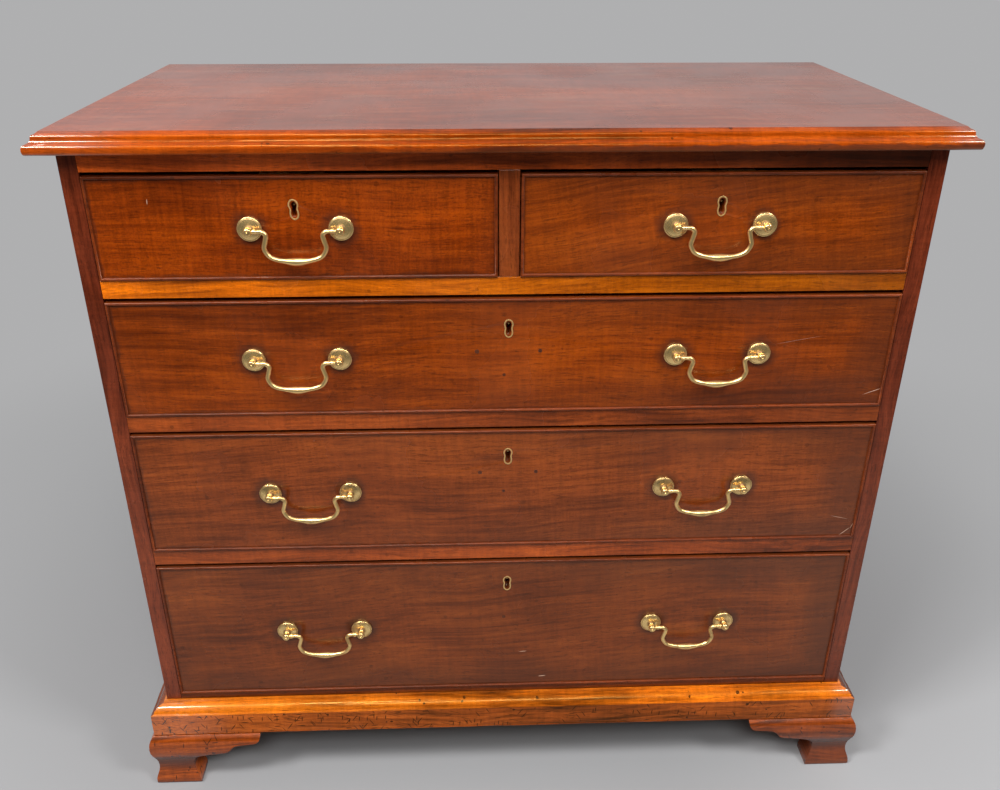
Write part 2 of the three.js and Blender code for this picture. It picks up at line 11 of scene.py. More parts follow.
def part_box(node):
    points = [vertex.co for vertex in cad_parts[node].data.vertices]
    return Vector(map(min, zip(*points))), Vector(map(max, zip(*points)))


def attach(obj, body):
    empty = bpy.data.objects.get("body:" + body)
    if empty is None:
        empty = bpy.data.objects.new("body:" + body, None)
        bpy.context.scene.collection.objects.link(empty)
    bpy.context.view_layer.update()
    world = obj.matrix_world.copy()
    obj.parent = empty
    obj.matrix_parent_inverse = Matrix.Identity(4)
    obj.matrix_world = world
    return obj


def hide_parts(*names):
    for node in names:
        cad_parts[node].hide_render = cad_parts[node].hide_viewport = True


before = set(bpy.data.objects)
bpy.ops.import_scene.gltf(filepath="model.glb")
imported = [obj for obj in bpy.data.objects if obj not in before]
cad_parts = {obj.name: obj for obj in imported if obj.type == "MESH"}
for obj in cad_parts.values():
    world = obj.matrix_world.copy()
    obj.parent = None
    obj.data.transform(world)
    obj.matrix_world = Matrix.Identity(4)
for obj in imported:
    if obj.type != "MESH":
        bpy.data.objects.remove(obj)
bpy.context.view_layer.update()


# The two sides are single mahogany boards with their grain upright. Their front edges show
# beside the drawers as dark, rubbed strips. They are planed square and their arrises are worn.
MM = 0.001
SAME_PLACE = 0.01 * MM
WORN_ARRIS = 0.7 * MM
GRAIN_TURN = {"x": (0, 0, 0), "y": (0, 0, -math.pi / 2), "z": (0, math.pi / 2, 0)}


def step(kind, inputs, tree=None, **settings):
    """The results of one step of a finish, which has a value or an earlier result on each input."""
    results = {socket: value for socket, value in inputs.items()
               if isinstance(value, bpy.types.NodeSocket)}
    tree = tree or next(iter(results.values())).id_data
    made = tree.nodes.new("ShaderNode" + kind)
    for setting, value in settings.items():
        setattr(made, setting, value)
    for socket, value in inputs.items():
        if socket in results:
            tree.links.new(value, made.inputs[socket])
        else:
            made.inputs[socket].default_value = value
    return made.outputs


def begun(name):
    """A new, empty finish, and the place on the object that its steps start from."""
    made = bpy.data.materials.new(name)
    made.use_nodes = True
    made.node_tree.nodes.clear()
    return made, step("TexCoord", {}, made.node_tree)["Object"]


def ended(inputs):
    """The surface that the steps of a finish lead to."""
    step("OutputMaterial", {0: step("BsdfPrincipled", inputs)[0]})


def axes(place):
    return step("SeparateXYZ", {0: place})


def patches(place, scale, detail):
    """Soft patches of noise, about as many in a metre as the scale says."""
    return step("TexNoise", {"Vector": place, "Scale": scale, "Detail": detail})[0]


def bent(place, scale, detail, sway):
    """A place moved a little to and fro, so that straight grain wanders."""
    noise_colour = step("TexNoise", {"Vector": place, "Scale": scale, "Detail": detail})[1]
    return step("VectorMath", {0: noise_colour, 1: sway, 2: place}, operation="MULTIPLY_ADD")[0]


def figured(place, stretch, detail=3.0, roughness=0.5):
    """Noise drawn out along the grain. Stretch is how many changes there are in a metre each way."""
    drawn = step("VectorMath", {0: place, 1: stretch}, operation="MULTIPLY")[0]
    return step("TexNoise", {
        "Vector": drawn, "Scale": 1.0, "Detail": detail, "Roughness": roughness,
    })[0]


def between(value, low, high, start=0.0, end=1.0):
    """Start where the value is at its low, end at its high, and a soft change between them."""
    return step("MapRange", {0: value, 1: low, 2: high, 3: start, 4: end},
                interpolation_type="SMOOTHSTEP")[0]


def worked(operation, a, b=0.0):
    return step("Math", {0: a, 1: b}, operation=operation)[0]


def times(a, b):
    return worked("MULTIPLY", a, b)


def added(*parts):
    """The sum of several values, each times its share."""
    total = 0.0
    for value, share in parts:
        total = step("Math", {0: value, 1: share, 2: total}, operation="MULTIPLY_ADD")[0]
    return total


def tinted(share, under, over, mode="MIX"):
    """Lays one colour over another by a share."""
    return step("Mix", {0: share, 6: under, 7: over}, data_type="RGBA", blend_type=mode)[2]


def shade(colour, strength=1.0):
    return (colour[0] * strength, colour[1] * strength, colour[2] * strength, 1.0)


def ramped(value, stops):
    """A colour that goes from stop to stop as the value rises. Each is a place and its colour."""
    ramp = step("ValToRGB", {0: value})[0]
    elements = ramp.node.color_ramp.elements
    for end in (0, -1):
        elements[end].position, elements[end].color = stops[end]
    for position, colour in stops[1:-1]:
        elements.new(position).color = colour
    return ramp


def bumped(height, strength, depth, **under):
    """Relief from a height, with its depth in mm, on top of any relief under it."""
    return step("Bump", {"Height": height, "Strength": strength, "Distance": depth * MM, **under})[0]


def dashes(place, turn, length, width, share):
    """Short straight marks at one slant on an upright face. The share says how many cells have one."""
    lie = step("Mapping", {"Vector": place, "Rotation": (math.pi / 2, 0.0, turn)})[0]
    drawn = step("VectorMath", {0: lie, 1: (0.3 / length, 0.3 / width, 0.0)}, operation="MULTIPLY")[0]
    cells = step("TexVoronoi", {"Vector": drawn, "Scale": 1.0}, voronoi_dimensions="2D")
    chosen = step("SeparateColor", {0: cells["Color"]})[0]
    return times(between(cells["Distance"], 0.1, 0.16, 1.0, 0.0), worked("LESS_THAN", chosen, share))


# Each kind of score has its turn, and its length and width in mm.
SCORES = ((0.95, 14, 1.6), (-1.0, 12, 1.4), (1.5, 9, 1.5), (0.1, 10, 1.7), (-0.3, 22, 0.9))


def mahogany(name, middle, grain="x", slope=0.0, shift=(0, 0, 0), contrast=1.0, ribbon=0.12,
             rough=0.24, gloss=0.5, specular=(1.0, 0.86, 0.7), polish=0.0, buffed=None, nicks=0.0,
             scratches=0.0, score_top=1.0, stain=None):
    """Polished mahogany: broad figure, fine streaks, short dark pores and faint cross ribbon."""
    made, place = begun(name)
    turn = GRAIN_TURN[grain]
    turned = step("Mapping", {
        "Vector": place, "Location": shift, "Rotation": (turn[0], turn[1] + slope, turn[2]),
    })[0]
    swayed = bent(turned, 3.2, 2.0, (0.0, 0.045, 0.045))
    figure = figured(swayed, (2.2, 7.0, 7.0), detail=2.0)
    mottle = figured(swayed, (13.0, 9.0, 17.0))
    clouds = figured(swayed, (7.0, 60.0, 60.0), detail=4.0, roughness=0.55)
    streaks = figured(swayed, (6.0, 230.0, 230.0), detail=4.0, roughness=0.65)
    pores = figured(swayed, (70.0, 900.0, 900.0), detail=2.0)
    chatter = figured(turned, (190.0, 17.0, 17.0), roughness=0.62)
    speckle = figured(turned, (620.0, 620.0, 620.0), detail=1.0)
    tone = added((figure, 0.33), (mottle, 0.14), (clouds, 0.21), (streaks, 0.32))

    spread = 0.62 * contrast
    colour = ramped(tone, (
        (0.385, shade((middle[0], middle[1] * 0.86, middle[2] * 0.8), 1.0 - spread)),
        (0.5, shade(middle)),
        (0.615, shade((middle[0], middle[1] * 1.12, middle[2] * 1.1), 1.0 + spread)),
    ))
    pore_marks = between(pores, 0.54, 0.68)
    colour = tinted(times(pore_marks, 0.5), colour, shade(middle, 0.28))
    ribbons = between(added((chatter, 0.6), (speckle, 0.4)), 0.35, 0.65, 1.0 - ribbon, 1.0 + ribbon)
    colour = tinted(1.0, colour, ribbons, mode="MULTIPLY")
    if stain:
        colour = stain(place, colour)
    dents = 0.0
    if nicks:
        spots = step("TexVoronoi", {"Vector": turned, "Scale": 105.0})[0]
        bruise = worked("LESS_THAN", spots, between(patches(turned, 48.0, 2.0), 0.53, 0.72, 0.0, 0.3))
        colour = tinted(times(bruise, nicks), colour, shade(middle, 0.14))
        dents = times(bruise, -1.0)
    if scratches:
        along, _, up = axes(place)
        share = times(between(along, -0.3, 0.15, 0.26 * scratches, 0.09 * scratches),
                      worked("LESS_THAN", up, score_top))
        for slant, length, width in SCORES:
            lines = dashes(turned, slant, length * MM, width * MM, share)
            colour = tinted(times(lines, 0.85), colour, shade(middle, 0.12))

    smears = patches(turned, 9.0, 4.0)
    height = step("Math", {0: pore_marks, 1: -0.25, 2: dents}, operation="MULTIPLY_ADD")[0]
    relief = bumped(patches(turned, 24.0, 1.0), 0.25, 1.0, Normal=bumped(height, 0.35, 0.4))
    dull = between(smears, 0.3, 0.7, rough - 0.05, rough + 0.08)
    ended({
        "Base Color": colour, "Roughness": times(dull, buffed(place)) if buffed else dull,
        "Specular IOR Level": gloss, "Specular Tint": (*specular, 1.0), "Coat IOR": 1.7,
        "Coat Weight": polish(place) if callable(polish) else polish, "Coat Roughness": 0.05,
        "Normal": relief,
    })
    return made


def welded(shape, gap=SAME_PLACE):
    bmesh.ops.remove_doubles(shape, verts=shape.verts, dist=gap)


def eased(shape, edges, width, segments=2):
    bmesh.ops.bevel(shape, geom=edges, offset=width, segments=segments, profile=0.5, affect="EDGES",
                    clamp_overlap=True, material=-1)


def softened(node, width=WORN_ARRIS, chosen=lambda edge: True):
    """A merged copy of a frame piece, with its flat faces whole again and its arrises eased."""
    shape = bmesh.new()
    shape.from_mesh(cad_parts[node].data)
    welded(shape)
    bmesh.ops.dissolve_limit(shape, angle_limit=math.radians(1), verts=shape.verts, edges=shape.edges)
    eased(shape, [edge for edge in shape.edges if edge.is_manifold and chosen(edge)
                  and edge.calc_face_angle_signed() > math.radians(20)], width)
    bmesh.ops.dissolve_degenerate(shape, edges=shape.edges, dist=SAME_PLACE / 2)
    bmesh.ops.triangulate(shape, faces=[face for face in shape.faces if len(face.verts) > 4])
    return shape


def placed(name, data):
    """Puts a thing, such as a board or a lamp, in the scene."""
    thing = bpy.data.objects.new(name, data)
    bpy.context.scene.collection.objects.link(thing)
    return thing


def meshed(name, shape):
    """A mesh of a shape, which is used up."""
    mesh = bpy.data.meshes.new(name)
    shape.to_mesh(mesh)
    shape.free()
    return mesh


def finished(name, shape, body, materials, replaces=(), smooth=35, even=True):
    """Makes a shape a piece of the chest that moves with a body."""
    mesh = meshed(name, shape)
    mesh.polygons.foreach_set("use_smooth", [True] * len(mesh.polygons))
    mesh.set_sharp_from_angle(angle=math.radians(smooth))
    for material in materials:
        mesh.materials.append(material)
    piece = placed(name, mesh)
    if even:
        flat = piece.modifiers.new("even_faces", "WEIGHTED_NORMAL")
        flat.keep_sharp = True
    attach(piece, body)
    if replaces:
        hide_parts(*replaces)


side_wood = mahogany("side_mahogany", (0.12, 0.019, 0.006), grain="z", contrast=1.1)
for hand in ("left", "right"):
    finished(f"{hand}_side_board", softened(f"{hand}_side"), "case", [side_wood],
             replaces=[f"{hand}_side"])


# The rails between the drawers are mahogany in front, with pine dustboards behind them. Each
# was cut from its own board: the upper one is golden, and the two below it are redder.
def lining_wood(name, middle, grain="y", shift=(0, 0, 0), grime=0.35):
    """Bare lining timber, brown with age: straight grain, darker late wood and grime."""
    made, place = begun(name)
    turned = step("Mapping", {
        "Vector": place, "Location": shift, "Rotation": GRAIN_TURN[grain],
    })[0]
    swayed = bent(turned, 2.4, 1.0, (0.0, 0.06, 0.06))
    rings = figured(swayed, (0.8, 95.0, 95.0))
    fibres = figured(swayed, (12.0, 600.0, 600.0))
    dust = patches(place, 7.0, 6.0)
    colour = tinted(between(rings, 0.36, 0.64), shade(middle, 1.18), shade(middle, 0.66))
    colour = tinted(between(fibres, 0.45, 0.75, 0.0, 0.35), colour, shade(middle, 0.4))
    colour = tinted(between(dust, 0.42, 0.72, 0.0, grime), colour, (0.05, 0.035, 0.022, 1.0))
    ended({
        "Base Color": colour, "Roughness": between(dust, 0.3, 0.7, 0.62, 0.82),
        "Specular IOR Level": 0.25, "Normal": bumped(fibres, 0.3, 0.5),
    })
    return made


def dress(node, *materials):
    """Gives a frame piece, whose shape is right as it is, its finish."""
    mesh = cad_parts[node].data
    mesh.materials.clear()
    for material in materials:
        mesh.materials.append(material)
    return mesh


RAIL_DEPTH = 75 * MM
RAIL_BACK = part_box("top_rail")[0].y + RAIL_DEPTH
RAIL_REACH = 440 * MM
dustboard_pine = lining_wood("dustboard_pine", (0.36, 0.21, 0.095), grain="x", shift=(3.1, 0.4, 0.0))


def shaded_along(*lights):
    """Paints shade along a rail: the lights are what is left of its colour, from left to right."""
    def stain(place, colour):
        along = between(axes(place)[0], -RAIL_REACH, RAIL_REACH)
        painted_shade = ramped(along, [(end / 2, shade((light,) * 3)) for end, light in enumerate(lights)])
        return tinted(1.0, colour, painted_shade, mode="MULTIPLY")
    return stain


# Each rail's colour, its place on the board it was cut from, and the share its painted shade leaves,
# left to right.
RAILS = {
    "top_rail": ((0.46, 0.068, 0.006), 0.3, (1.0, 0.58, 0.2)),
    "upper_divider": ((0.62, 0.128, 0.0005), 0.8, (1.0, 0.55, 0.32)),
    "middle_divider": ((0.227, 0.039, 0.005), 1.9, (1.0, 0.87, 0.7)),
    "lower_divider": ((0.3, 0.05, 0.006), 2.7, (0.7, 1.0, 0.78)),
    "bottom_board": ((0.11, 0.017, 0.001), 4.2, (0.9, 1.0, 1.0)),
}
for rail, (tone, place_on_board, lights) in RAILS.items():
    shape = softened(rail)
    bmesh.ops.bisect_plane(shape, geom=shape.verts[:] + shape.edges[:] + shape.faces[:],
                           plane_co=(0, RAIL_BACK, 0), plane_no=(0, 1, 0))
    for face in shape.faces:
        face.material_index = int(face.calc_center_median().y > RAIL_BACK)
    rail_wood = mahogany(f"{rail}_mahogany", tone, shift=(place_on_board, place_on_board, 0.0),
                         contrast=1.1, nicks=0.4, stain=shaded_along(*lights))
    finished(f"{rail}_boards", shape, "case", [rail_wood, dustboard_pine], replaces=[rail])
partition_wood = mahogany("partition_mahogany", (0.15, 0.028, 0.005), grain="z")
finished("partition_board", softened("short_drawer_partition"), "case", [partition_wood],
         replaces=["short_drawer_partition"])
dress("rear_top_rail", dustboard_pine)


# The back is four wide pine boards laid across the case in its rebates, rough from the plane.
# Each is held at its ends by cut nails, whose heads have rusted.
BOARD_GAP = 1.2 * MM
BACK_BOARDS = 4
NAIL_HEAD = 2.6 * MM, 2.08 * MM, 1.2 * MM
NAIL_SUNK = 0.3 * MM
NAIL_INSET = 5 * MM
NAIL_SPACING = 300 * MM
NAIL_SHARES = (0.2, 0.8)
back_pine = lining_wood("back_pine", (0.31, 0.18, 0.085), grain="x", shift=(0.0, 1.7, 0.6), grime=0.55)


def iron(name, rust):
    """Old iron, dark grey and browned with rust."""
    made, place = begun(name)
    bloom = patches(place, 260.0, 4.0)
    share = between(bloom, 0.4, 0.65, 0.0, rust)
    ended({
        "Base Color": tinted(share, (0.2, 0.185, 0.17, 1.0), (0.1, 0.042, 0.02, 1.0)), "Metallic": 0.85,
        "Roughness": between(bloom, 0.3, 0.7, 0.42, 0.7), "Normal": bumped(bloom, 0.3, 0.2),
    })
    return made


def block(low, high, ease=WORN_ARRIS, segments=2, into=None):
    """A squared block with eased arrises, alone or added to a shape."""
    shape = into or bmesh.new()
    low, high = Vector(low), Vector(high)
    size = high - low
    made = bmesh.ops.create_cube(shape, size=1.0, matrix=Matrix.Translation((low + high) / 2)
                                 @ Matrix.Diagonal((*size, 1.0)))
    eased(shape, list({edge for vert in made["verts"] for edge in vert.link_edges}), ease, segments)
    return shape


def peg(shape, place, seat, head, depth, segments, lean=math.pi / 2, roll=0.0):
    """Adds a peg, pin or nail head to a shape, with its radius at the seat and at the head."""
    matrix = Matrix.Translation(place) @ Matrix.Rotation(lean, 4, "X") @ Matrix.Rotation(roll, 4, "Z")
    bmesh.ops.create_cone(shape, cap_ends=True, segments=segments, radius1=seat, radius2=head,
                          depth=depth, matrix=matrix)


nail_iron = iron("nail_iron", rust=0.9)
back_low, back_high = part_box("back_panel")
boards, nails = bmesh.new(), bmesh.new()
board_height = (back_high.z - back_low.z) / BACK_BOARDS
for row in range(BACK_BOARDS):
    low = back_low.z + row * board_height
    block((back_low.x, back_low.y, low),
          (back_high.x, back_high.y, low + board_height - BOARD_GAP), into=boards)
    into_rails = (-NAIL_SPACING, 0.0, NAIL_SPACING) if row in (0, BACK_BOARDS - 1) else ()
    for x in (back_low.x + NAIL_INSET, *into_rails, back_high.x - NAIL_INSET):
        for share in NAIL_SHARES:
            peg(nails, (x, back_high.y - NAIL_SUNK, low + share * board_height), *NAIL_HEAD,
                segments=9, lean=-math.pi / 2, roll=row + x)
finished("back_boards", boards, "case", [back_pine], replaces=["back_panel"])
finished("back_nails", nails, "case", [nail_iron], even=False)


# The top is one wide mahogany board, french polished. Its front and ends are worked with a
# chamfer, a thumb, a shallow hollow and a round bead, which hands have brightened and nicked.
HALF = 450 * MM
FRONT = -217 * MM
BACK = 243 * MM
CASE_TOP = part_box("top_board")[0].z
TOP_THICKNESS = 21.3 * MM
TOP_OVERHANG = 22.5 * MM
TOP_MOULD = 14 * MM
TOP_STROKES = [
    [(0, 0)],
    [(0.2, 0.11)],
    [(0.4, 0.11), (0.44, 0.25)],
    [(0.45, 0.42), (0.64, 0.48)],
    [(0.92, 0.53), (1, 0.6), (1, 0.74)],
    [(1, 1), (0.79, 1)],
]


def curved(start, first, last, end, steps):
    """The points of a curve, after its start."""
    knots = (point.to_3d() for point in (start, first, last, end))
    return [point.to_2d() for point in geometry.interpolate_bezier(*knots, steps)[1:]]


def stroked(strokes, steps=7):
    """An outline's points: a stroke of one point is straight, and one of two or three is a curve."""
    points = [Vector(strokes[0][0])]
    for stroke in strokes[1:]:
        start, end = points[-1], Vector(stroke[-1])
        if len(stroke) == 1:
            points.append(end)
            continue
        first, last = Vector(stroke[0]), Vector(stroke[-2])
        if len(stroke) == 2:
            first, last = start.lerp(first, 2 / 3), end.lerp(first, 2 / 3)
        points += curved(start, first, last, end, steps)
    return points


RUBS_ALONG, RUBS_UP = 45, 160


def new_parts(grown, kind=bmesh.types.BMVert):
    return [part for part in grown["geom"] if isinstance(part, kind)]


def faced_out(shape):
    bmesh.ops.recalc_face_normals(shape, faces=shape.faces)
    return shape


def moulded_round(profile, closed, worn=(), wear=0.0, front_steps=150, end_steps=60):
    """A moulding mitred round the front and both ends of the case.

    The profile lists how far out and how high each point lies. An open one is a solid block with
    a flat back, and a closed one is a hollow run. The worn points are rubbed in here and there."""
    left = [(-HALF, BACK + (FRONT - BACK) * i / end_steps, -1, 0) for i in range(end_steps)]
    left += [(-HALF, FRONT, -1, -1)]
    stops = left + [(-HALF + 2 * HALF * i / front_steps, FRONT, 0, -1) for i in range(1, front_steps)]
    stops += [(-x, y, -across, along) for x, y, across, along in reversed(left)]
    shape = bmesh.new()
    index = shape.verts.layers.int.new("profile_point")

    def settle(verts, stop):
        x, y, across, along = stop
        for vert in verts:
            out, height = profile[vert[index]]
            rub = 0.0
            if vert[index] in worn:
                spot = Vector((x * RUBS_ALONG, y * RUBS_ALONG, height * RUBS_UP))
                rub = wear * max(0.0, noise.noise(spot)) ** 1.5
            vert.co = (x + across * (out - rub), y + along * (out - rub), height)

    first = [shape.verts.new() for _ in profile]
    for number, vert in enumerate(first):
        vert[index] = number
    settle(first, stops[0])
    chain = [shape.edges.new(pair) for pair in zip(first, first[1:])]
    if closed:
        chain.append(shape.edges.new((first[-1], first[0])))
    opening = list(chain)
    for stop in stops[1:]:
        grown = bmesh.ops.extrude_edge_only(shape, edges=chain)
        settle(new_parts(grown), stop)
        chain = [edge for edge in new_parts(grown, bmesh.types.BMEdge)
                 if edge.verts[0][index] != edge.verts[1][index]]
    if closed:
        bmesh.ops.contextual_create(shape, geom=opening)
        bmesh.ops.contextual_create(shape, geom=chain)
    else:
        ends = {vert[index]: vert for edge in chain for vert in edge.verts}
        backs = [shape.edges.new((first[0], ends[0])),
                 shape.edges.new((first[-1], ends[len(profile) - 1]))]
        bmesh.ops.contextual_create(shape, geom=opening + chain + backs)
        bmesh.ops.holes_fill(shape, edges=[edge for edge in shape.edges if edge.is_boundary])
    return faced_out(shape)


def most(*values):
    return functools.reduce(lambda a, b: worked("MAXIMUM", a, b), values)


def top_marks(place, colour):
    """Faded patches and pale scuffs on the flat of the top."""
    fade = between(patches(place, 2.6, 5.0), 0.35, 0.7, 0.0, 0.3)
    colour = tinted(fade, colour, (0.2, 0.055, 0.02, 1.0))
    scuffs = figured(place, (9.0, 55.0, 1.0), detail=4.0, roughness=0.6)
    return tinted(between(scuffs, 0.56, 0.72, 0.0, 0.35), colour, (0.34, 0.14, 0.07, 1.0))


def nose_shade(place, colour):
    """Painted shade on the lower part of the moulding, over the bead and under it, more to the right.
    """
    along, _, up = axes(place)
    line = added((patches(place, 60.0, 3.0), 0.006), (up, 1.0))
    low = between(line, CASE_TOP + 8.5 * MM, CASE_TOP + 11 * MM, 0.75, 0.0)
    share = times(low, between(along, -0.25, 0.2, 0.15, 1.0))
    return tinted(share, colour, (0.07, 0.022, 0.012, 1.0))


def corner_polish(place):
    """The share of high polish: hands have dulled it along the front, but not at the corners."""
    along = axes(place)[0]
    return most(between(along, -0.43, -0.35, 0.9, 0.0), between(along, 0.43, 0.455, 0.0, 0.9))


def buffed_length(place):
    """How rough the gloss is against the rest: one length, left of the middle, is rubbed smooth."""
    off = worked("ABSOLUTE", worked("ADD", axes(place)[0], 0.2))
    return between(off, 0.06, 0.11, 0.4, 1.0)


GOLDEN_GLOSS = (1.0, 0.6, 0.16)
LEVEL = 0.999
TOP_RUBBED = {0, 1, 3, 4, 17, 18, 19, 20, 21}
top_wood = mahogany("top_mahogany", (0.25, 0.042, 0.01), shift=(0.7, 2.2, 0.0), contrast=0.75,
                    rough=0.25, specular=(1.0, 1.0, 1.0), polish=0.42, nicks=0.3, stain=top_marks)
top_edge_wood = mahogany("top_edge_mahogany", (0.245, 0.034, 0.001), shift=(0.7, 2.2, 0.0),
                         contrast=1.2, rough=0.17, gloss=0.35, specular=GOLDEN_GLOSS,
                         polish=corner_polish, buffed=buffed_length, nicks=0.7, stain=nose_shade)
top_end_wood = mahogany("top_end_mahogany", (0.2, 0.036, 0.006), grain="y", shift=(1.7, 0.2, 0.0),
                        contrast=1.2, rough=0.22, polish=0.4, nicks=0.7)
top_profile = [(TOP_OVERHANG - TOP_MOULD * (1 - out), CASE_TOP + TOP_THICKNESS * (1 - down))
               for out, down in stroked(TOP_STROKES)]
top_shape = moulded_round(top_profile, closed=False, worn=TOP_RUBBED, wear=0.7 * MM)
for face in top_shape.faces:
    if abs(face.normal.z) < LEVEL:
        face.material_index = 2 if abs(face.normal.x) > abs(face.normal.y) else 1
finished("moulded_top", top_shape, "case", [top_wood, top_edge_wood, top_end_wood],
         replaces=["top_board"], smooth=50)


# The plinth is three lengths of moulded mahogany, mitred and glued round the foot of the case.
# Shoes and brooms have rubbed its arris bright, and have bruised and scored its flat face.
# Its moulded top also carries painted light, brighter towards the right.
PLINTH_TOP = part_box("plinth")[1].z
PLINTH_HEIGHT = 46.5 * MM
PLINTH_OUT = 18.5 * MM
PLINTH_MOULD = 14 * MM
FIT = 0.3 * MM
PLINTH_STROKES = [
    [(0, 0)],
    [(0.17, 0)],
    [(0.2, 0.22)],
    [(0.66, 0.26), (0.84, 0.88)],
    [(1, 0.92)],
]


def rubbed_and_lit_gold(place, colour):
    """The plinth's rounded top, rubbed to golden wood in patches, with painted light on it, more to the
    right.
    """
    along, _, up = axes(place)
    line = PLINTH_TOP - PLINTH_MOULD
    patch = between(patches(place, 22.0, 3.0), 0.25, 0.6, 0.6, 1.0)
    share = times(between(up, line, line + 1.5 * MM), patch)
    gold = tinted(between(along, -0.3, 0.4), (1.3, 1.55, 0.6, 1.0), (2.1, 2.5, 0.9, 1.0))
    return tinted(share, colour, gold, mode="MULTIPLY")


def across_ends(shape):
    """Puts the second finish on the faces that look to the left or right."""
    for face in shape.faces:
        face.material_index = int(abs(face.normal.x) > abs(face.normal.y))


plinth_wood = mahogany("plinth_mahogany", (0.27, 0.051, 0.006), shift=(5.1, 0.3, 1.0), contrast=1.4,
                       rough=0.17, specular=GOLDEN_GLOSS, polish=corner_polish, buffed=buffed_length,
                       nicks=0.9, scratches=1.8, score_top=PLINTH_TOP - PLINTH_MOULD,
                       stain=rubbed_and_lit_gold)
# The ends are a darker copy of the plinth's wood: painted shade on the faces that look sideways.
shaded_plinth_end_wood = mahogany("shaded_plinth_end_mahogany", (0.13, 0.026, 0.006), grain="y",
                           shift=(2.2, 0.3, 1.0), contrast=1.3, rough=0.22, polish=0.4, nicks=0.6)
plinth_profile = [(PLINTH_OUT * out, PLINTH_TOP - PLINTH_MOULD * down)
                  for out, down in stroked(PLINTH_STROKES)]
arris = len(plinth_profile) - 1
plinth_rubbed = {0, 1, 2, 3, arris - 1, arris, arris + 2, arris + 3}
PLINTH_UNDER = PLINTH_TOP - PLINTH_HEIGHT
plinth_profile += [(PLINTH_OUT, PLINTH_TOP - 0.6 * PLINTH_HEIGHT), (PLINTH_OUT, PLINTH_UNDER + MM),
                   (PLINTH_OUT - MM, PLINTH_UNDER), (FIT, PLINTH_UNDER), (FIT, PLINTH_TOP)]
plinth_shape = moulded_round(plinth_profile, closed=True, worn=plinth_rubbed, wear=1.3 * MM)
across_ends(plinth_shape)
finished("moulded_plinth", plinth_shape, "case", [plinth_wood, shaded_plinth_end_wood],
         replaces=["plinth"], smooth=40)


# Each ogee foot is two mahogany brackets, sawn from a moulded length and mitred at the corner.
# Those at the rear have a plain board across the back. A block inside takes the weight.
FOOT_TOP = PLINTH_UNDER - FIT
FOOT_REACH = 121 * MM
FOOT_BULGE = 26.2 * MM
FOOT_WAIST = 19.6 * MM
BRACKET = 28 * MM
REAR_BRACKET = 18 * MM
FOOT_BLOCK = 18 * MM
BLOCK_LIFT = 6 * MM
OGEE_STROKES = [
    [(-0.1, 0)],
    [(0.4, 0.03), (1, 0.08), (1, 0.24)],
    [(1, 0.42), (0, 0.46), (0, 0.64)],
    [(0, 0.77), (0.8, 0.82), (0.8, 0.93)],
    [(0.8, 1), (0.6, 1)],
]
WING_STROKES = [
    [(1, 0)],
    [(1, 0.14), (0.926, 0.16)],
    [(0.745, 0.185)],
    [(0.675, 0.195), (0.67, 0.31), (0.605, 0.345)],
    [(0.36, 0.41)],
    [(0.265, 0.44), (0.225, 0.52), (0.225, 0.61)],
    [(0.225, 0.75), (0.285, 0.84), (0.285, 0.94)],
    [(0.285, 1)],
]
REAR_STROKES = [[(0.62, 0)], [(0.62, 0.25)], [(0.32, 1)]]
PAST = 30 * MM


def bracket_outline(strokes):
    """A bracket's outline, run on past the corner of the case, where the moulding cuts it."""
    points = [(share * FOOT_REACH, FOOT_TOP * (1 - down)) for share, down in stroked(strokes)]
    return points + [(-PAST, 0), (-PAST, FOOT_TOP)]


def sawn(points, low, high, plane):
    """A board sawn to an outline, lying in the plane named, from low to high across it."""
    shape = bmesh.new()
    upright = plane == "xz"
    outline = [shape.verts.new((u, low, v) if upright else (low, u, v)) for u, v in points]
    grown = bmesh.ops.extrude_face_region(shape, geom=[shape.faces.new(outline)])
    across = Vector((0, high - low, 0)) if upright else Vector((high - low, 0, 0))
    bmesh.ops.translate(shape, vec=across, verts=new_parts(grown))
    return faced_out(shape)


def shape_of(thing):
    """The shape that an object has once its modifiers have run, or its curve is drawn."""
    bpy.context.view_layer.update()
    seen = thing.evaluated_get(bpy.context.evaluated_depsgraph_get())
    mesh = bpy.data.meshes.new_from_object(seen)
    shape = bmesh.new()
    shape.from_mesh(mesh)
    bpy.data.meshes.remove(mesh)
    return shape


def fitted(base, **changes):
    """A shape joined with others, or kept inside them. All of them are used up."""
    things = [placed(name, meshed(name, shape)) for name, shape in [("base", base), *changes.items()]]
    for operation, other in zip(changes, things[1:]):
        cut = things[0].modifiers.new(operation, "BOOLEAN")
        cut.operation, cut.solver, cut.object = operation, "EXACT", other
    shape = shape_of(things[0])
    for thing in things:
        bpy.data.meshes.remove(thing.data)
    return shape


def band(value, low, high, fall, end, strength=1.0):
    """A soft band: nothing below its low, strength from high to fall, and nothing past its end."""
    return times(between(value, low, high), between(value, fall, end, strength, 0.0))


def foot_shade(place, colour):
    """Painted shade in the ogee's hollow, between the rubbed bulge and toe, and under the right feet's
    bulge.
    """
    along, _, up = axes(place)
    hollow = band(up, 18 * MM, 34 * MM, 44 * MM, 53 * MM, 0.85)
    # The foot is also darker along its bottom edge.
    foot_of_it = between(up, 1.5 * MM, 5 * MM, 0.7, 0.0)
    shaded_right = times(between(along, 0.0, 0.1, 0.0, 0.55), between(up, 46 * MM, 56 * MM, 1.0, 0.15))
    return tinted(most(hollow, foot_of_it, shaded_right), colour, (0.06, 0.017, 0.01, 1.0))


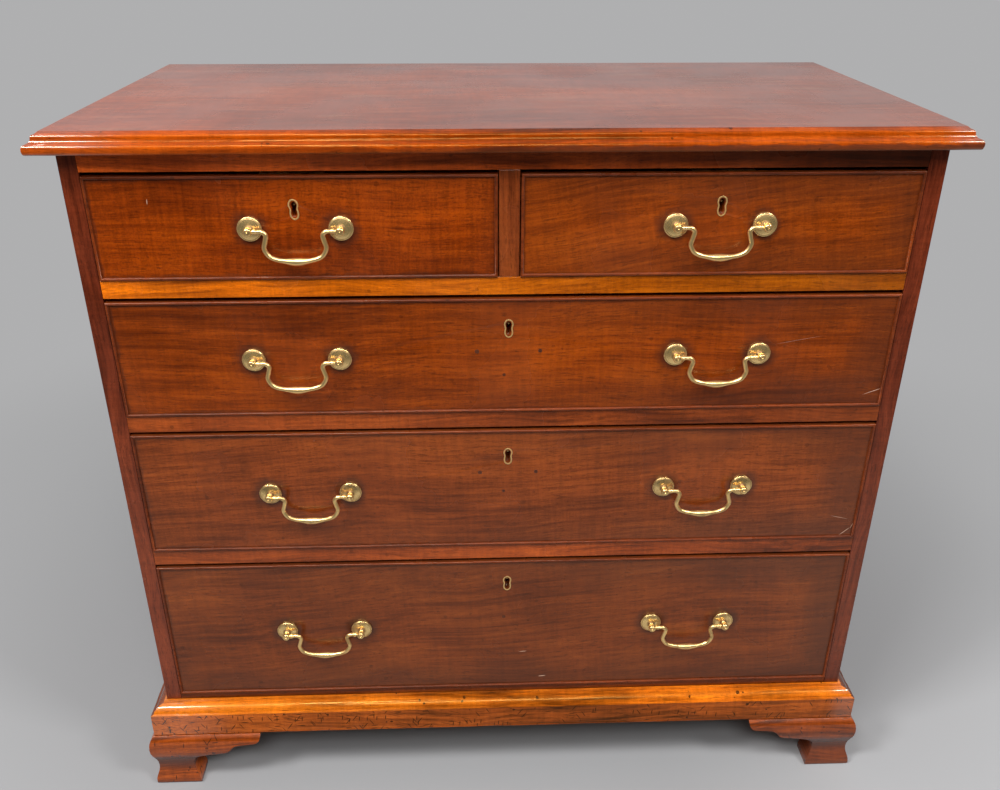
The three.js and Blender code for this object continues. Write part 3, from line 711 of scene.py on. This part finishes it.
ogee_profile = [(FOOT_WAIST + (FOOT_BULGE - FOOT_WAIST) * out, FOOT_TOP * (1 - down))
                for out, down in stroked(OGEE_STROKES)]
foot_wood = [mahogany(f"foot_mahogany_{axis}", (0.3, 0.053, 0.004), grain=axis, shift=(0.9, 3.3, 0.2),
                      contrast=1.3, rough=0.2, gloss=0.35, polish=0.25, nicks=0.75, scratches=0.3,
                      stain=foot_shade) for axis in "xy"]
block_pine = lining_wood("block_pine", (0.3, 0.17, 0.08), grain="z", grime=0.6)
wing = bracket_outline(WING_STROKES)
inner_x = HALF + PLINTH_OUT - BRACKET
for corner, hand, rear in (("front_left", -1, False), ("front_right", 1, False),
                           ("rear_left", -1, True), ("rear_right", 1, True)):
    end, inward = (BACK, -1) if rear else (FRONT, 1)
    across = bracket_outline(REAR_STROKES) if rear else wing
    face_low = BACK - REAR_BRACKET if rear else FRONT - PAST
    face_high = BACK if rear else FRONT - PLINTH_OUT + BRACKET
    front_board = sawn([(hand * (HALF - u), v) for u, v in across], face_low, face_high, "xz")
    near, far = sorted((hand * inner_x, hand * (HALF + PAST)))
    side_board = sawn([(end + inward * u, v) for u, v in wing], near, far, "yz")
    moulded = moulded_round(ogee_profile, closed=False, front_steps=2, end_steps=2)
    foot = fitted(front_board, UNION=side_board, INTERSECT=moulded)
    welded(foot)
    across_ends(foot)
    finished(f"{corner}_ogee_foot", foot, "case", foot_wood,
             replaces=[f"{corner}_foot"], smooth=38)
    block_x = sorted((hand * (inner_x - FIT), hand * (inner_x - FOOT_BLOCK)))
    inner_face = face_low - FIT if rear else face_high + FIT
    block_y = sorted((inner_face, inner_face + inward * FOOT_BLOCK))
    glued = block((block_x[0], block_y[0], BLOCK_LIFT), (block_x[1], block_y[1], FOOT_TOP),
                  ease=1.5 * MM)
    finished(f"{corner}_foot_block", glued, "case", [block_pine])


# Each drawer front is one mahogany board with a thin cock bead let in all round. The two short
# ones are the reddest. Hands and polish have left dark rings round the handles.
# The dark rings round the handles also hold painted shade from the roses.
FACE = FRONT
POST_HALF = 47 * MM
LONG_HANDLE = 233 * MM
SHORT_HANDLE = 221 * MM
# Each front's colour, its roughness, the slope of its grain and how strong its cross ribbon is.
DRAWER_TONES = {
    "upper_left": ((0.172, 0.023, 0.0005), 0.21, -0.03, 0.2),
    "upper_right": ((0.212, 0.034, 0.0012), 0.21, 0.16, 0.14),
    "first_long": ((0.2, 0.031, 0.001), 0.22, 0.0, 0.12),
    "second_long": ((0.178, 0.032, 0.004), 0.24, 0.04, 0.12),
    "third_long": ((0.153, 0.029, 0.004), 0.27, 0.07, 0.1),
}
BEAD_ARRIS = 0.4 * MM
BEAD_FACE = FACE - 0.3 * MM
SQUARELY = 0.7
# Each scar is its middle in metres, its turn, its length and width in mm, and how much it shows.
SCARS = (
    (-0.368, 0.796, 1.5, 7, 1.0, 0.6), (0.419, 0.569, 0.36, 28, 0.9, 0.8),
    (0.323, 0.634, 0.18, 62, 0.5, 0.35), (0.408, 0.396, -0.23, 26, 0.8, 0.5),
    (0.418, 0.375, 0.75, 19, 1.2, 0.8), (0.426, 0.384, 1.2, 12, 0.9, 0.7),
    (0.021, 0.195, 0.1, 12, 1.2, 0.8), (0.047, 0.152, 0.1, 12, 2.6, 0.6),
)


def far_from(value, middle):
    return worked("ABSOLUTE", worked("SUBTRACT", value, middle))


def length_of(place):
    return step("VectorMath", {0: place}, operation="LENGTH")[1]


def from_post(along, off, handle):
    """How far a place lies from the nearest post, on a front whose handles are so far out."""
    across = worked("SUBTRACT", far_from(worked("ABSOLUTE", along), handle), POST_HALF)
    return length_of(step("CombineXYZ", {0: across, 1: off})[0])


def grime_and_shade(low, high, handle):
    """Grime and painted shade round the posts, a dark bead line, and darker edges, most at right and
    low.
    """
    centre, half = (low + high) / 2, (high - low) / 2

    def stain(place, colour):
        along, _, up = axes(place)
        patch = patches(place, 55.0, 3.0)
        cloud = patches(place, 9.0, 4.0)
        off = far_from(up, centre.z)
        reach = from_post(along, off, handle)
        # Round the posts the grime is deepened with painted shade from the roses.
        ring = between(added((patch, 0.014), (reach, 1.0)), 17 * MM, 33 * MM, 0.8, 0.0)
        inside = worked("MINIMUM", added((far_from(along, centre.x), -1.0), (half.x, 1.0)),
                        added((off, -1.0), (half.z, 1.0)))
        bead = between(added((patch, -0.01), (inside, 1.0)), -MM, 2 * MM, 0.45, 0.0)
        # The face is darker in clouds near its edges, most to the right and low on the lowest drawer.
        corner = between(added((cloud, -0.11), (inside, 1.0)), -45 * MM, 10 * MM, 0.5, 0.0)
        right_and_low = most(between(along, -0.3, 0.45, 0.1, 1.0), between(up, 0.15, 0.21, 0.8, 0.0))
        share = most(ring, bead, times(corner, right_and_low))
        colour = tinted(share, colour, (0.04, 0.013, 0.007, 1.0))
        for x, z, turn, length, width, depth in SCARS:
            lie = step("Mapping", {
                "Vector": place, "Location": (x, FACE, z), "Rotation": (0.0, -turn, 0.0),
                "Scale": (length * MM / 2, 1.0, width * MM / 2),
            }, vector_type="TEXTURE")[0]
            shown = between(length_of(lie), 0.5, 1.0, depth, 0.0)
            colour = tinted(shown, colour, (0.62, 0.4, 0.28, 1.0))
        return colour
    return stain


lining_side = lining_wood("drawer_side_oak", (0.33, 0.2, 0.095), shift=(1.2, 0.0, 3.0))
lining_back = lining_wood("drawer_back_oak", (0.31, 0.19, 0.09), grain="x", shift=(0.7, 0.4, 3.0))
lining_bottom = lining_wood("drawer_bottom_pine", (0.38, 0.23, 0.11), grain="x", shift=(0.2, 2.0, 3.0))
bead_wood = mahogany("cock_bead_mahogany", (0.13, 0.021, 0.003), rough=0.3, gloss=0.35, nicks=0.5)
for number, (drawer, (tone, rough, slope, ribbon)) in enumerate(DRAWER_TONES.items()):
    low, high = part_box(f"{drawer}_drawer_front")
    stain = grime_and_shade(low, high, LONG_HANDLE if "long" in drawer else SHORT_HANDLE)
    wood = mahogany(f"{drawer}_mahogany", tone, slope=slope, shift=(1.3 * number, 0.7, 2.1 * number),
                    rough=rough, contrast=0.9, ribbon=ribbon, nicks=0.3, stain=stain)
    shape = softened(f"{drawer}_drawer_front", width=BEAD_ARRIS,
                     chosen=lambda edge: all(vert.co.y < FACE + SAME_PLACE for vert in edge.verts))
    for face in shape.faces:
        face.material_index = int(face.calc_center_median().y < BEAD_FACE)
    finished(f"{drawer}_beaded_front", shape, f"{drawer}_drawer", [wood, bead_wood],
             replaces=[f"{drawer}_drawer_front"])
    for face in dress(f"{drawer}_drawer_box", lining_side, lining_back).polygons:
        face.material_index = int(abs(face.normal.y) > SQUARELY)
    dress(f"{drawer}_drawer_bottom", lining_bottom)


# Round holes from an earlier set of handles have been filled with dark plugs, level with the
# face. They show on the three long drawers, near the middle. Places and radii are in mm.
PLUG_MIDDLE, PLUG_DEPTH = 0.22 * MM, 0.6 * MM
PLUGS = {
    "first_long": ((-35, 6.1, 2.6), (35, 6.1, 2.4), (-5, -22.9, 2.0)),
    "second_long": ((-33, 23.1, 2.6), (33, 23.1, 2.4), (-5, -2.9, 1.9)),
    "third_long": ((-4, 13.6, 2.4),),
}
plug_wood = mahogany("plug_mahogany", (0.06, 0.013, 0.004), grain="z", rough=0.4)
for drawer, places in PLUGS.items():
    plugs = bmesh.new()
    low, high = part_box(f"{drawer}_drawer_front")
    for x, up, radius in places:
        place = x * MM, FACE + PLUG_MIDDLE, (low.z + high.z) / 2 + up * MM
        peg(plugs, place, radius * MM, 0.94 * radius * MM, PLUG_DEPTH, segments=20)
    finished(f"{drawer}_hole_plugs", plugs, f"{drawer}_drawer", [plug_wood], even=False)


# Each lock is let into the back of its drawer front, with a brass plate inside and a selvedge on
# the top edge, which its iron bolt rises through. A thin brass thread lines the keyhole.
BRASS = (0.93, 0.65, 0.27)
KEYHOLE_DROP = 35.5 * MM
EDGING_HALF = 5.3 * MM
EDGING_HEIGHT = 22 * MM
EDGING_WAIST = 4.25 * MM
EDGING_WIDTH = 1.5 * MM
EDGING_PROUD = 0.25 * MM
EDGING_DEEP = 3 * MM
SLOT_SHARE = 0.92
HEAD_LOW = 0.3 * MM
KEYHOLE_STROKES = [[(-1, 0.19)], [(-1, 0.46), (0, 0.5)], [(1, 0.46), (1, 0.19)]]
LOCK_HALF = 33 * MM
LOCK_HEIGHT = 46 * MM
LOCK_PLATE = 0.9 * MM
LOCK_CASE = 3.6 * MM
CASE_SHARE = 0.72
KEY_PIN = 1.25 * MM, 1.0 * MM, 9 * MM
PIN_MIDDLE, PIN_RAISED = 9.5 * MM, 4.2 * MM
SELVEDGE_LOW, SELVEDGE_HIGH = -0.5 * MM, 0.25 * MM
SCREW_SHARES = (-0.86, 0.86), (0.2, 0.8)
SCREW_HEAD = 2.9 * MM, 2.2 * MM, 0.9 * MM
SCREW_SEAT = 1.1 * MM
FRONT_THICKNESS = 22 * MM
BOLT_FRONT = 10 * MM
BOLT_THICK = 3.2 * MM
BOLT_HALF = 11.4 * MM
BOLT_PLAY = 0.35 * MM


def brass(name, tarnish=0.35, rough=0.3, dirt=(0.3, 0.165, 0.07), haze=0.0, stain=None):
    """Cast brass, rubbed bright on its high places and dulled brown where no cloth reaches. The
    haze is the share of light that the old lacquer scatters."""
    made, place = begun(name)
    dull = between(patches(place, 120.0, 5.0), 0.42, 0.72, 0.0, tarnish)
    if stain:
        dull = most(dull, stain(place))
    ended({
        "Base Color": tinted(dull, shade(BRASS), shade(dirt)), "Metallic": 1.0 - haze,
        "Roughness": between(dull, 0.0, 0.8, rough, rough + 0.22),
        "Normal": bumped(patches(place, 900.0, 3.0), 0.12, 0.1),
    })
    return made


def keyhole_edging(centre, middle, tilt):
    """The brass thread round a keyhole: a round head over a slot that is a little narrower."""
    upper = [(across * EDGING_HALF, share * EDGING_HEIGHT)
             for across, share in stroked(KEYHOLE_STROKES, 9)]
    lower = [(across * SLOT_SHARE, -height) for across, height in reversed(upper)]
    outline = upper + [(EDGING_WAIST, HEAD_LOW)] + lower + [(-EDGING_WAIST, HEAD_LOW)]
    turned = [Matrix.Rotation(tilt, 2) @ Vector(point) for point in outline]
    edging = bmesh.new()
    ring = edging.faces.new([edging.verts.new((centre + u, FACE + EDGING_DEEP, middle + v))
                             for u, v in turned])
    edging.normal_update()
    bmesh.ops.inset_individual(edging, faces=[ring], thickness=EDGING_WIDTH, use_even_offset=True)
    bmesh.ops.delete(edging, geom=[ring], context="FACES_ONLY")
    grown = bmesh.ops.extrude_face_region(edging, geom=edging.faces[:])
    bmesh.ops.translate(edging, vec=(0, -EDGING_DEEP - EDGING_PROUD, 0), verts=new_parts(grown))
    faced_out(edging)
    eased(edging, [edge for edge in edging.edges if all(vert.co.y < FACE for vert in edge.verts)
                   and edge.calc_face_angle(0) > 1.0], EDGING_PROUD)
    return edging


def lock_case(centre, middle, top):
    """A plate on the back of the front, the case on it, the slotted selvedge and the key's pin."""
    inner = FACE + FRONT_THICKNESS
    case_half = CASE_SHARE * LOCK_HALF
    lock = block((centre - LOCK_HALF, inner - 0.4 * MM, top - LOCK_HEIGHT),
                 (centre + LOCK_HALF, inner + LOCK_PLATE, top), ease=0.3 * MM)
    block((centre - case_half, inner, top - 0.9 * LOCK_HEIGHT),
          (centre + case_half, inner + LOCK_CASE, top - 3 * MM), ease=0.6 * MM, into=lock)
    slot_low = FACE + BOLT_FRONT - BOLT_PLAY
    slot_high = FACE + BOLT_FRONT + BOLT_THICK + BOLT_PLAY
    for x0, x1, y0, y1 in ((-LOCK_HALF, LOCK_HALF, slot_low - 1.3 * MM, slot_low),
                           (-LOCK_HALF, LOCK_HALF, slot_high, inner + 0.5 * MM),
                           (-LOCK_HALF, -BOLT_HALF, slot_low, slot_high),
                           (BOLT_HALF, LOCK_HALF, slot_low, slot_high)):
        block((centre + x0, y0, top + SELVEDGE_LOW), (centre + x1, y1, top + SELVEDGE_HIGH),
              ease=0.08 * MM, segments=1, into=lock)
    peg(lock, (centre, FACE + PIN_MIDDLE, middle + PIN_RAISED), *KEY_PIN, segments=16)
    return lock


edging_brass = brass("keyhole_brass", tarnish=0.2, rough=0.5)
# The lock's brass is heavily tarnished and darkened further as painted shade where its selvedge shows
# in the gap.
tarnished_shaded_lock_brass = brass("tarnished_shaded_lock_brass", tarnish=0.95, rough=0.4, dirt=(0.12, 0.07, 0.03))
bolt_iron = iron("bolt_iron", rust=0.35)
for drawer in DRAWER_TONES:
    low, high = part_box(f"{drawer}_drawer_front")
    centre, top = (low.x + high.x) / 2, high.z
    middle = top - KEYHOLE_DROP
    edging = keyhole_edging(centre, middle, 0.07 if drawer == "upper_left" else 0.0)
    finished(f"{drawer}_keyhole_edging", edging, f"{drawer}_drawer", [edging_brass])
    finished(f"{drawer}_lock_case", lock_case(centre, middle, top), f"{drawer}_drawer", [tarnished_shaded_lock_brass])
    screws = bmesh.new()
    for x, z in itertools.product(*SCREW_SHARES):
        place = centre + x * LOCK_HALF, FACE + FRONT_THICKNESS + SCREW_SEAT, top - z * LOCK_HEIGHT
        peg(screws, place, *SCREW_HEAD, segments=20, lean=-math.pi / 2)
    finished(f"{drawer}_lock_screws", screws, f"{drawer}_drawer", [bolt_iron], even=False)
    dress(f"{drawer}_lock_bolt", bolt_iron)


# Each handle is a cast brass bail between two posts. A post is turned in one piece with its
# domed rose and a ringed knob, and its shank goes through the drawer front to a square nut.
AXIS_OUT = 12 * MM
# Each point of a post's outline is a radius and how far it lies in front of the drawer, in mm.
POST_PROFILE = [
    (0.0, 18.0), (0.6, 17.9), (0.95, 17.6), (1.1, 17.2), (1.9, 17.25), (2.3, 17.1), (2.5, 16.7),
    (2.6, 16.35), (3.3, 16.3), (3.9, 15.9), (4.35, 15.1), (4.6, 13.9), (4.65, 12.4),
    (4.55, 11.0), (4.2, 9.9), (3.7, 9.1), (3.3, 8.6), (3.15, 8.2), (3.4, 7.9), (3.5, 7.6),
    (3.4, 7.3), (3.1, 7.0), (2.95, 6.3), (3.1, 5.7), (3.6, 5.2), (4.4, 4.9), (5.7, 4.65),
    (7.5, 4.3), (9.3, 3.9), (10.8, 3.5), (11.5, 3.3), (11.7, 3.1), (12.0, 3.1), (12.5, 2.95),
    (12.85, 2.6), (13.0, 2.0), (12.95, 1.2), (12.75, 0.5), (12.6, 0.05), (2.6, 0.05),
    (2.6, -22.1), (2.3, -27.6), (1.7, -28.0), (0.0, -28.1),
]
NUT_HALF = 4.9 * MM
NUT_THICK = 3.4 * MM


def post_dirt_and_shade(handle, height):
    """Brown dirt in a post's hollows, round the knob's ring, neck and rose's rim; at the neck, painted
    shade too.
    """
    def stain(place):
        along, back, up = axes(place)
        reach = from_post(along, worked("SUBTRACT", up, height), handle)
        rim = band(reach, 10.8 * MM, 11.4 * MM, 11.7 * MM, 12.2 * MM)
        # Round the neck the dark is also painted shade under the knob.
        neck = between(reach, 3.6 * MM, 6.6 * MM, 0.95, 0.0)
        behind = between(back, FACE - 6.8 * MM, FACE - 6 * MM)
        groove = band(reach, 2.1 * MM, 2.4 * MM, 2.5 * MM, 3 * MM, 0.9)
        ringed = times(groove, between(back, FACE - 16 * MM, FACE - 15.5 * MM, 1.0, 0.0))
        return most(times(rim, 0.8), most(times(neck, behind), ringed))
    return stain


def turned_post(x, z):
    """A post turned about the line through its knob and shank, with its nut."""
    shape = bmesh.new()
    points = [shape.verts.new((x + radius * MM, FACE - out * MM, z)) for radius, out in POST_PROFILE]
    line = [shape.edges.new(pair) for pair in zip(points, points[1:])]
    bmesh.ops.spin(shape, geom=points + line, cent=(x, FACE, z), axis=(0, 1, 0), angle=2 * math.pi,
                   steps=40, use_merge=True)
    welded(shape)
    faced_out(shape)
    seat = FACE + FRONT_THICKNESS + FIT
    return block((x - NUT_HALF, seat, z - NUT_HALF), (x + NUT_HALF, seat + NUT_THICK, z + NUT_HALF),
                 ease=0.5 * MM, into=shape)


BAIL_DROP = 32.4 * MM
# The right half of the bail's line: how far out in mm, and how far down as a share of its drop.
BAIL_KNOTS = ((46.2, 0), (37.6, 0), (32.43, 0.01), (29, 0.13), (30.4, 0.345), (31.8, 0.56),
              (27.965, 0.79), (21.855, 0.9), (13.16, 0.965), (0, 1))
# How far from the bail's middle its stretches end or begin, and radii of the bar, all in mm.
GRIP_END, ARM_END, COLLAR_START, COLLAR, SPIGOT_START = 15, 32, 36, 39.9, 41.4
BAR, GRIP_SWELL, NECK_THIN, SPIGOT = 2.45, 1.6, 0.3, 2.0


def pull(across, reach):
    """How hard the bail's line is drawn across a knot, less where its neighbour is near."""
    return across * min(1.0, 2 * reach / max(across.length, 1e-6)) / 6


def bail_line():
    """The bail's centre line, from the end of one spigot to the end of the other."""
    right = [Vector((out * MM, -down * BAIL_DROP)) for out, down in BAIL_KNOTS]
    knots = right + [Vector((-knot.x, knot.y)) for knot in reversed(right[:-1])]
    line = [knots[0]]
    for i, (start, end) in enumerate(zip(knots, knots[1:])):
        before = knots[i - 1] if i else start
        after = knots[i + 2] if i + 2 < len(knots) else end
        reach = (end - start).length
        first, last = start + pull(end - before, reach), end - pull(after - start, reach)
        line += curved(start, first, last, end, 7)
    return line


def bail_radius(point):
    """Thin spigot, small collar beside the knob, slim neck, fuller arms and a swelling grip."""
    out, low = abs(point.x) / MM, point.y < -BAIL_DROP / 2
    if low and out < GRIP_END:
        return (BAR + GRIP_SWELL * (0.5 + 0.5 * math.cos(math.pi * out / GRIP_END)) ** 0.8) * MM
    if out > SPIGOT_START:
        return SPIGOT * MM
    if out > COLLAR_START:
        return (1.95 + 0.95 * math.exp(-((out - COLLAR) / 1.5) ** 2)) * MM
    return (BAR - NECK_THIN * max(0.0, min(1.0, (out - ARM_END) / 4))) * MM


def cast_bail(x, z):
    """A round bar drawn along the bail's line, closed at both ends."""
    curve = bpy.data.curves.new("bail_line", "CURVE")
    curve.dimensions = "3D"
    curve.bevel_depth, curve.bevel_resolution, curve.use_fill_caps = 1.0, 5, True
    points = bail_line()
    spline = curve.splines.new("POLY")
    spline.points.add(len(points) - 1)
    for knot, point in zip(spline.points, points):
        knot.co = (x + point.x, FACE - AXIS_OUT, z + point.y, 1.0)
        knot.radius = bail_radius(point)
    shape = shape_of(placed("bail_line", curve))
    bpy.data.curves.remove(curve)
    welded(shape, SAME_PLACE / 10)
    return faced_out(shape)


rubbed_bail_brass = brass("rubbed_bail_brass", tarnish=0.15, haze=0.09)
dull_bail_brass = brass("dull_bail_brass", tarnish=0.65, haze=0.05)
for drawer in DRAWER_TONES:
    low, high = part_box(f"{drawer}_drawer_front")
    centre, height = (low.x + high.x) / 2, (low.z + high.z) / 2
    long = "long" in drawer
    places = {"_left": -LONG_HANDLE, "_right": LONG_HANDLE} if long else {"": centre}
    dull = drawer in ("second_long", "third_long")
    post_brass = brass(f"{drawer}_post_brass", tarnish=0.6 if dull else 0.15, rough=0.27,
                       haze=0.06 if dull else 0.1,
                       stain=post_dirt_and_shade(LONG_HANDLE if long else SHORT_HANDLE, height))
    for side, x in places.items():
        handle = f"{drawer}{side}_handle"
        for hand, sign in (("left", -1), ("right", 1)):
            finished(f"{handle}_{hand}_turned_post", turned_post(x + sign * POST_HALF, height),
                     f"{drawer}_drawer", [post_brass],
                     replaces=[f"{handle}_{hand}_post"], smooth=42, even=False)
        finished(f"{handle}_cast_bail", cast_bail(x, height), f"{handle}_bail",
                 [dull_bail_brass if dull else rubbed_bail_brass],
                 replaces=[f"{handle}_bail"], smooth=60, even=False)


# The floor and the light of a plain studio, and the camera where the photograph was taken.
# The room is pale behind the chest and dark beyond the camera, so that gloss stays deep.
BACKDROP = (0.43, 0.43, 0.435, 1.0)
DARK_ROOM = 0.07
CEILING = 1.7
FLOOR_IN_PAINTED_SHADOW = (0.29, 0.29, 0.295, 1.0)
PALE_FLOOR = (0.38, 0.38, 0.385, 1.0)
floor_shape = bmesh.new()
bmesh.ops.create_circle(floor_shape, cap_ends=True, segments=96, radius=14.0)
studio_floor = placed("studio_floor", meshed("studio_floor", floor_shape))


def glow(kind, tree, strength, colour=BACKDROP):
    """Plain light, from a surface or from the room."""
    return step(kind, {"Color": colour, "Strength": strength}, tree)[0]


def mixed(share, under, over):
    return step("MixShader", {0: share, 1: under, 2: over})[0]


floor_finish, place = begun("studio_floor")
floor_steps = floor_finish.node_tree
rays = step("LightPath", {}, floor_steps)
away = length_of(place)
rightward, depth, _ = axes(place)
# The floor's paint holds a painted shadow, darker near the chest, and painted light, brighter on its
# right.
tone = tinted(between(away, 0.45, 1.2), FLOOR_IN_PAINTED_SHADOW, PALE_FLOOR)
tone = tinted(between(rightward, 0.2, 0.5), tone, (1.2, 1.2, 1.2, 1.0), mode="MULTIPLY")
paint = step("BsdfPrincipled", {"Base Color": tone, "Roughness": 0.6, "Specular IOR Level": 0.2})[0]
backdrop = glow("Emission", floor_steps, 1.0)
mirrored = glow("Emission", floor_steps, between(depth, -2.0, -0.2, DARK_ROOM, 1.1))
far = between(away, 0.6, 1.7)
shown = mixed(times(far, rays["Is Camera Ray"]), paint, backdrop)
dark_front = between(depth, -1.3, -0.7, 1.0, 0.0)
in_gloss = times(most(far, dark_front), rays["Is Glossy Ray"])
step("OutputMaterial", {0: mixed(in_gloss, shown, mirrored)})
studio_floor.data.materials.append(floor_finish)

world = bpy.data.worlds.new("studio")
bpy.context.scene.world = world
world.use_nodes = True
room_steps = world.node_tree
room_steps.nodes.clear()
rays = step("LightPath", {}, room_steps)
_, inward, upward = axes(step("TexCoord", {}, room_steps)["Generated"])
fill = glow("Background", room_steps, between(upward, 0.2, 0.8, 0.04, 0.4), (1.0, 1.0, 1.0, 1.0))
wall = glow("Background", room_steps, 1.0)
room = glow("Background", room_steps, most(between(inward, -0.35, 0.25, DARK_ROOM, 1.0),
                                           between(upward, 0.1, 0.75, 0.0, CEILING)))
in_gloss = most(rays["Is Glossy Ray"], rays["Is Transmission Ray"])
lit = mixed(in_gloss, fill, room)
step("OutputWorld", {0: mixed(rays["Is Camera Ray"], lit, wall)})

for name, place, aim, width, depth, watts in (
        ("high_light", (-0.55, -1.1, 2.6), (-0.1, -0.2, 0.6), 0.5, 0.5, 20.0),
        ("left_light", (-1.4, -1.15, 2.3), (-0.1, -0.2, 0.45), 0.6, 0.6, 42.0),
        ("right_light", (1.8, -1.4, 2.4), (0.1, -0.2, 0.45), 0.7, 0.7, 42.0),
        ("front_light", (0.0, -2.2, 2.4), (0, -0.2, 0.4), 1.2, 0.6, 32.0)):
    lamp = bpy.data.lights.new(name, "AREA")
    lamp.shape, lamp.size, lamp.size_y, lamp.energy = "RECTANGLE", width, depth, watts
    light = placed(name, lamp)
    light.location = place
    light.rotation_euler = (Vector(aim) - Vector(place)).to_track_quat("-Z", "Y").to_euler()
    light.visible_camera = False

CAMERA_PLACE = (-0.0462, -1.1799, 1.0548)
CAMERA_TURN, CAMERA_DIP, CAMERA_ROLL = 0.0381444, 0.465221, 0.00215533
lens = bpy.data.cameras.new("camera")
lens.sensor_width, lens.lens = 36.0, 34.291
camera = placed("camera", lens)
turned = Matrix.Rotation(-CAMERA_TURN, 4, "Z") @ Matrix.Rotation(math.pi / 2 - CAMERA_DIP, 4, "X")
rolled = turned @ Matrix.Rotation(CAMERA_ROLL, 4, "Z")
camera.matrix_world = Matrix.Translation(CAMERA_PLACE) @ rolled
bpy.context.scene.camera = camera
bpy.context.scene.view_settings.view_transform = "Standard"
